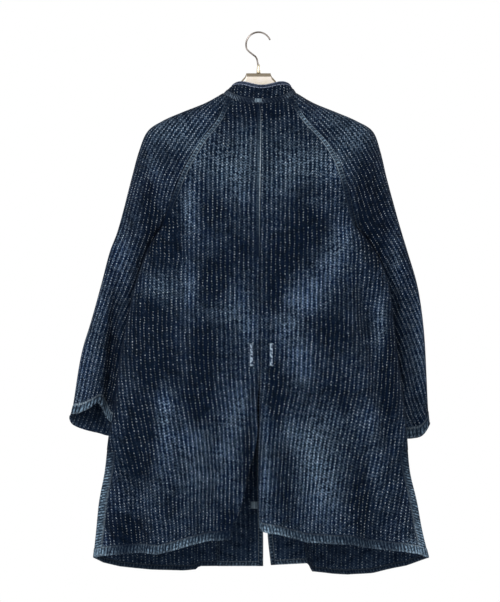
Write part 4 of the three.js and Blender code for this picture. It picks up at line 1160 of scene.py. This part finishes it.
for side in ("left", "right"):
    back, front, facing = back_grids[side], front_grids[side], facing_grids[side]
    rows = np.linspace(0, HEM_ROW, BACK_ROWS)
    low = back[:, -1, 2] < SIDE_BAND_TOP_Z
    host = f"back_panel_{side}"
    band(
        f"raglan_seam_{side}", host, back[rows <= RAGLAN_ROWS], "last column", BACKWARD,
        SEAM_WIDTH, 0.06, worn=RUBBED_RAGLANS,
    )
    band(
        f"side_seam_{side}", host, back[(rows >= RAGLAN_ROWS) & ~low], "last column", BACKWARD,
        NARROW_SEAM_WIDTH, 0.08,
    )
    band(
        f"side_band_{side}", host, back[low], "last column", BACKWARD, SIDE_BAND_WIDTH, 0.12,
        worn=RUBBED_HEMS, material=side_cloth,
    )
    band(
        f"back_hem_{side}", host, back, "last row", BACKWARD, HEM_WIDTH, 0.14,
        worn=RUBBED_HEMS, material=hem_cloth,
    )
    rows = np.linspace(0, HEM_ROW, FRONT_ROWS)
    host = f"front_panel_{side}"
    band(
        f"front_raglan_seam_{side}", host, front[rows <= RAGLAN_ROWS], "last column", FORWARD,
        SEAM_WIDTH, 0.25, "front",
    )
    band(
        f"front_hem_{side}", host, front, "last row", FORWARD, HEM_WIDTH, 0.3, "front",
        material=hem_cloth,
    )
    band(f"front_edge_{side}", host, front, "first column", FORWARD, EDGE_WIDTH, 0.25, "front")
    # Inside, the hem is turned up, and the facing's edges are turned in.
    inside = front - grid_normals(front, FORWARD) * CLOTH_WALL
    band(f"hem_turned_up_{side}", host, inside, "last row", BACKWARD, EDGE_WIDTH, 0.14, "front")
    inside = facing - grid_normals(facing, FORWARD) * FACING_WALL
    host = f"facing_strip_{side}"
    for part, edge, width, fade_and_shade in (
        ("hem", "last row", EDGE_WIDTH, 0.36),
        ("front_edge", "first column", EDGE_WIDTH, 0.3),
        ("back_edge", "last column", NARROW_SEAM_WIDTH, 0.15),
    ):
        band(f"facing_{part}_{side}", host, inside, edge, BACKWARD, width, fade_and_shade, "front")
    for face in ("back", "front"):
        band(
            f"{face}_cuff_{side}", f"sleeve_{face}_half_{side}", sleeve_grids[face, side],
            "last row", OUTWARD[face], CUFF_WIDTH, 0.2, face,
            worn=RUBBED_CUFFS, material=cuff_cloth,
        )
# The centre seam is felled towards the wearer's left.
above_vent = back_grids["left"][back_grids["left"][:, 0, 2] > CENTRE_SEAM_END_Z]
band(
    "centre_seam", "back_panel_left", above_vent, "first column", BACKWARD, CENTRE_SEAM_WIDTH, 0.08,
    worn=RUBBED_CENTRE, material=centre_cloth,
)
# The collar's rolled top edge is topstitched all round, and its foot is felled to the neck.
foot, rim = collar_grid[0][:, None] * [1, 1, 0], collar_grid[-1][:, None] * [1, 1, 0]
band(
    "collar_rim", "stand_collar", collar_grid, "last row", rim, COLLAR_RIM, 0.75,
    material=rim_cloth,
)
band(
    "collar_foot", "stand_collar", collar_grid, "first row", foot, NECK_WIDTH, 0.1,
    worn=RUBBED_NECK, material=neck_cloth,
)
# A small block of stitches crosses the foot behind.
behind = collar_grid[1:4][:, np.abs(angle - NECK_TACK_ANGLE) < NECK_TACK_REACH]
behind = behind + grid_normals(behind, BACKWARD) * NECK_TACK_LIFT
tack("neck_tack", "stand_collar", behind, NECK_TACK_THREADS, BACKWARD)

# ---------------------------------------------------------------- buttons and buttonholes
# Six turned buttons of dark horn, each sewn through four holes to the wearer's right front, and
# six worked buttonholes across the left front, whose stitches show inside as well.
BUTTONS = 6
BUTTON_SIDES = 48
BUTTON_INSET = 21
BUTTON_FOOT = 8
BUTTON_CLEAR = 0.6
BUTTON_TOP_Z = -253
BUTTON_PITCH = 148
HOLE_RADIUS = 1.1
HOLE_DEPTH = 1.3
HOLE_SPREAD = 2.3
THREAD_RADIUS = 0.45
BUTTONHOLE_INSET = 17
BUTTONHOLE_LENGTH, BUTTONHOLE_HEIGHT, BUTTONHOLE_THREADS = 22, 6, 22
BUTTONHOLE_LIFT, SLIT_DEPTH = 0.9, 0.75
INSIDE_LENGTH, INSIDE_HEIGHT, INSIDE_THREADS = 18, 15, 5
INSIDE_DEPTH = 4.1
HOLE_STITCH_WALL = 0.5

horn = Paint("dark_horn", Roughness=0.38, Coat_Weight=0.3, Coat_Roughness=0.25)
streak_at = horn.node("Mapping", Vector=horn.place(), Scale=(1.0, 1.0, 0.25)).outputs[0]
streaks = horn.noise(streak_at, 260.0, 4.0)
horn.cover(horn.mix(horn.step(streaks, 0.35, 0.7), srgb(20, 21, 26), srgb(62, 58, 56)))
horn.bump(streaks, 0.0003, 0.4)


def turned_points(profile, sides):
    """A profile of radius and height carried round the axis: x and y go with cosine and sine."""
    turn = full_turn(sides)
    radius, height = np.array(profile, float).T
    return np.stack(np.broadcast_arrays(
        radius[:, None] * np.cos(turn), radius[:, None] * np.sin(turn), height[:, None]
    ), -1)


def closed_rings(name, rings, material, stands_for=None, values=None):
    """Rings of points joined by quads, closed at both ends, with every face turned outwards."""
    count, sides = rings.shape[:2]
    index = np.arange(count * sides).reshape(count, sides)
    near, far = index[:-1], index[1:]
    quads = np.stack([near, np.roll(near, -1, 1), np.roll(far, -1, 1), far], -1)
    faces = quads.reshape(-1, 4).tolist() + [index[0][::-1].tolist(), index[-1].tolist()]
    piece = new_piece(name, rings.reshape(-1, 3), faces, [material], values=values)
    mesh = bmesh.new()
    mesh.from_mesh(piece.data)
    bmesh.ops.recalc_face_normals(mesh, faces=mesh.faces)
    mesh.to_mesh(piece.data)
    mesh.free()
    if stands_for:
        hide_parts(stands_for)


BUTTON_PROFILE = [
    (0.05, 0), (6, 0), (9, 0), (9.6, 0.4), (10, 1.3), (9.9, 2.2), (9.5, 2.9), (8.9, 3.2),
    (8.4, 3.2), (7.8, 2.7),
]
DISH_FIRST = len(BUTTON_PROFILE)
BUTTON_PROFILE += [(radius, 2.25) for radius in np.linspace(7.4, 0.05, 26)]
button_rings = turned_points(BUTTON_PROFILE, BUTTON_SIDES)
for turn in np.radians([45, 135, 225, 315]):
    hole = np.array([np.cos(turn), np.sin(turn)]) * HOLE_SPREAD
    away = np.linalg.norm(button_rings[DISH_FIRST:, :, :2] - hole, axis=-1)
    button_rings[DISH_FIRST:, :, 2] -= HOLE_DEPTH * np.exp(-((away / HOLE_RADIUS) ** 6))

SHANK_PROFILE = [(0.05, -0.9), (2.6, -0.9), (2.4, -0.4), (2.4, 0.3), (0.05, 0.3)]
for k in range(1, BUTTONS + 1):
    z = np.array([BUTTON_TOP_Z - (k - 1) * BUTTON_PITCH], float)
    x = smooth(CENTRE["front"], "z", "right", z) - BUTTON_INSET
    around = np.array([[1, 0], [-1, 0], [0, 1], [0, -1], [0, 0]]).T * BUTTON_FOOT
    spots = on_panel("right", "front", x + around[0], z + around[1], np.zeros(5))
    normal = np.cross(spots[0] - spots[1], spots[2] - spots[3])
    normal = normal / np.linalg.norm(normal)
    side_axis = np.cross([0, 0, 1.0], normal)
    side_axis = side_axis / np.linalg.norm(side_axis)
    axes = np.array([side_axis, np.cross(normal, side_axis), normal])
    seat = spots[4] + normal * BUTTON_CLEAR
    button = button_rings @ axes + seat
    closed_rings(f"horn_button_{k}", button, horn.material, f"button_{k}")
    # Two threads cross between the holes, and a shank of thread fills the gap under the button.
    for part, turn in (("a", np.radians(45)), ("b", np.radians(135))):
        line = np.linspace(-HOLE_SPREAD, HOLE_SPREAD, 12)
        rise = 2.1 + 0.7 * np.cos(line / HOLE_SPREAD * np.pi / 2)
        run = np.stack([line * np.cos(turn), line * np.sin(turn), rise], -1)
        around = full_turn(8)[:, None]
        aside = np.array([-np.sin(turn), np.cos(turn), 0])
        ring = THREAD_RADIUS * (np.cos(around) * aside + np.sin(around) * [0, 0, 1.0])
        strand = (run[:, None] + ring[None]) @ axes + seat
        closed_rings(f"button_thread_{k}{part}", strand, thread_plain.material)
    shank = turned_points(SHANK_PROFILE, 16) @ axes + seat
    closed_rings(f"button_shank_{k}", shank, thread_plain.material)

    x = smooth(CENTRE["front"], "z", "left", z)[0] + BUTTONHOLE_INSET
    wide, high = np.meshgrid(np.linspace(-0.5, 0.5, 23), np.linspace(-0.5, 0.5, 7))
    wide, high = wide * BUTTONHOLE_LENGTH, high * BUTTONHOLE_HEIGHT
    # The slit lies along the middle, where the two rows of stitches meet.
    slit = np.exp(-((high / 0.8) ** 2)) * ease(9.6, 8.4, np.abs(wide))
    lift = BUTTONHOLE_LIFT - SLIT_DEPTH * slit
    points = on_panel("left", "front", x + wide, z[0] + high, lift)
    tack(
        f"buttonhole_{k}", "front_panel_left", points, BUTTONHOLE_THREADS, FORWARD,
        HOLE_STITCH_WALL,
    )
    wide, high = np.meshgrid(np.linspace(-0.5, 0.5, 19), np.linspace(-0.5, 0.5, 9))
    wide, high = wide * INSIDE_LENGTH, high * INSIDE_HEIGHT
    points = on_panel("left", "front", x + wide, z[0] + high, 0 * wide - INSIDE_DEPTH)
    tack(
        f"buttonhole_inside_{k}", "facing_strip_left", points, INSIDE_THREADS, BACKWARD,
        HOLE_STITCH_WALL,
    )

# ---------------------------------------------------------------- the hanger
# A moulded hanger of cloudy cream plastic with a darker rim along its top, whose arms carry the
# shoulders. Its plated wire hook stands in a small flared ferrule.
HANGER_REACH = 216
ARM_START = 90
HANGER_NECK = named("x top", [
    [0, -84.5], [26, -84.5], [27.5, -91], [36, -100], [46, -118], [58, -131], [70, -136.5],
])
NECK_HALF_THICK, ARM_HALF_THICK, TIP_HALF_THICK = 6, 17, 10
NECK_HEIGHT, ARM_HEIGHT, TIP_HEIGHT = 62, 40, 20
HANGER_CROWN = 2.5
SEAT_GAP = 1.2
RIM_DEPTH = {"top": 6.5, "slope": 5.0}
HANGER_SIDES = 40

plastic = Paint("hanger_plastic", Roughness=0.32, Coat_Weight=0.25, Coat_Roughness=0.1)
cloud = plastic.noise(plastic.place(), 42.0, 3.0)
cream = plastic.mix(plastic.step(cloud, 0.35, 0.65), srgb(226, 214, 194), srgb(232, 222, 212))
olive = plastic.mix(cloud, srgb(92, 80, 62), srgb(128, 114, 92))
rimmed = plastic.step(plastic.attribute("rim") + cloud * 0.12, 0.3, 0.7)
plastic.cover(plastic.mix(rimmed, cream, olive))
plastic.bump(plastic.noise(plastic.place(), 500.0), 0.0002, 0.2)


def squared(v):
    """Half-way from a circle to a square: the root of v, with v's sign."""
    return np.sign(v) * np.abs(v) ** 0.5


seats = []
for side in ("left", "right"):
    tops, leans = [], []
    for face in ("back", "front"):
        grid = sleeve_grids[face, side][:SHOULDER_ROWS]
        leans.append(grid_normals(grid, np.array([0, 0.3 * SIGN[face], 1]))[:, -1])
        tops.append(grid[:, -1])
    lean = leans[0] + leans[1]
    lean /= np.linalg.norm(lean, axis=-1, keepdims=True)
    seats.append(tops[0] - lean * (CLOTH_WALL + SEAT_GAP) + [COAT_X, 0, 0])
rings, rims = [], []
for sign, seat in ((1, seats[0]), (-1, seats[1])):
    out = np.concatenate([np.linspace(0, 70, 48), np.linspace(72, HANGER_REACH, 74)])
    arm = seat[np.abs(seat[:, 0]) > ARM_START]
    key = np.concatenate([HANGER_NECK["x"], np.abs(arm[:, 0])])
    top = np.interp(out, key, np.concatenate([HANGER_NECK["top"], arm[:, 2]]))
    y = np.interp(out, key, np.concatenate([0 * HANGER_NECK["x"], arm[:, 1]]))
    as_arm = ease(ARM_START - 10, ARM_START + 25, out)
    share = out / HANGER_REACH
    height = mix(NECK_HEIGHT, mix(ARM_HEIGHT, TIP_HEIGHT, share), as_arm)
    half = mix(NECK_HALF_THICK, mix(ARM_HALF_THICK, TIP_HALF_THICK, share), as_arm)
    turn = full_turn(HANGER_SIDES)
    across, drop = squared(np.cos(turn)), (1 - squared(np.sin(turn))) / 2
    rings.append(np.stack([
        np.broadcast_to(sign * out[:, None], (len(out), HANGER_SIDES)),
        y[:, None] + across * half[:, None],
        top[:, None] - drop * height[:, None] - (np.abs(across) * as_arm[:, None]) * HANGER_CROWN,
    ], -1))
    # The plastic is darker down to RIM_DEPTH, deeper at the neck's top than on its slopes.
    deep = mix(RIM_DEPTH["top"], RIM_DEPTH["slope"], ease(24, 28, out))[:, None]
    rims.append(ease(1.5, 0.7, drop * height[:, None] / deep))
rings = np.concatenate([rings[1][:0:-1], rings[0]])
rims = np.concatenate([rims[1][:0:-1], rims[0]])
closed_rings(
    "hanger_bow", rings - [COAT_X, 0, 0], plastic.material, "hanger_body",
    {"rim": rims},
)


def plated(name, light, dark, roughness):
    """Plated steel, mirror smooth with cloudy tarnish."""
    paint = Paint(name, Metallic=1.0, Roughness=roughness)
    tarnish = paint.noise(paint.place(), 55.0, 4.0)
    paint.cover(paint.mix(paint.step(tarnish, 0.36, 0.62), dark, light))
    rough = paint.step(tarnish, 0.3, 0.7, roughness + 0.15, roughness)
    paint.put(rough, paint.shader.inputs["Roughness"])
    paint.bump(paint.noise(paint.place(), 900.0), 0.0001, 0.15)
    return paint.material


FERRULE_PROFILE = [
    (0.05, -66.0), (2.2, -66.0), (2.8, -66.6), (2.9, -67.6), (2.4, -68.6), (2.5, -69.6), (3.1, -72),
    (3.6, -76), (4.0, -80), (4.2, -82.6), (4.2, -83.8), (4.0, -84.7), (0.05, -84.7),
]
closed_rings(
    "ferrule", turned_points(FERRULE_PROFILE, 40) - [COAT_X, 0, 0],
    plated("plated_ferrule", srgb(222, 212, 190), srgb(150, 138, 116), 0.24), "hook_ferrule",
)

WIRE_RADIUS = 1.85
HOOK_RADIUS = 26.15
HOOK_MIDDLE_Z = -24.5
HOOK_ANGLES = np.radians(np.append(np.arange(-20, 149, 12), 160))
HOOK_STEM = [
    [0.8, -68.3], [1.8, -62], [3.2, -55], [6, -50], [10.4, -46.4], [15.4, -42.6], [20.6, -38.2]
]
arc = np.stack([np.cos(HOOK_ANGLES), np.sin(HOOK_ANGLES)], -1) * HOOK_RADIUS + [0, HOOK_MIDDLE_Z]
route = np.concatenate([HOOK_STEM, arc])
run = np.insert(np.cumsum(np.linalg.norm(np.diff(route, axis=0), axis=1)), 0, 0)
route = dict(run=run, x=route[:, 0], z=route[:, 1])
# Closer points near the free end, where the wire's end is rounded.
end = run[-1] - WIRE_RADIUS * np.cos(np.radians([60, 40, 20, 5]))
at = np.sort(np.concatenate([np.linspace(0, run[-1] - WIRE_RADIUS, 220), end]))
x, z = smooth(route, "run", "x", at), smooth(route, "run", "z", at)
heading = np.stack([np.gradient(x, at), 0 * at, np.gradient(z, at)], -1)
heading /= np.linalg.norm(heading, axis=-1, keepdims=True)
sideways = np.stack([-heading[:, 2], 0 * at, heading[:, 0]], -1)
left_over = np.clip((run[-1] - at) / WIRE_RADIUS, 0, 1)
radius = WIRE_RADIUS * np.sqrt(np.maximum(1 - (1 - left_over) ** 2, 1e-4))
turn = full_turn(24)
ring = np.cos(turn)[None, :, None] * sideways[:, None] + np.sin(turn)[None, :, None] * [0, 1.0, 0]
hook_points = np.stack([x, 0 * x, z], -1)[:, None] + radius[:, None, None] * ring
closed_rings(
    "hook_wire", hook_points - [COAT_X, 0, 0],
    plated("plated_wire", srgb(164, 156, 150), srgb(92, 84, 78), 0.2), "hanger_hook",
)

# ---------------------------------------------------------------- the flat area of each piece of cloth
# Every piece is cut flat from the quilted cloth and hangs from the piece, or the hanger, above it.
# The code works out each piece's area, at most its flat width times its length.
for side in ("left", "right"):
    for kind, flat, holder, grid in (
        ("back_panel", (0.375, 0.97), f"sleeve_back_{side}", back_grids[side]),
        ("front_panel", (0.39, 0.98), f"sleeve_front_{side}", front_grids[side]),
        ("sleeve_back_half", (0.25, 0.8), "hanger_body", sleeve_grids["back", side]),
        ("sleeve_front_half", (0.25, 0.8), "hanger_body", sleeve_grids["front", side]),
        ("facing_strip", (0.1, 0.97), f"front_{side}", facing_grids[side]),
    ):
        round(min(flat_area(grid), flat[0] * flat[1]), 3)
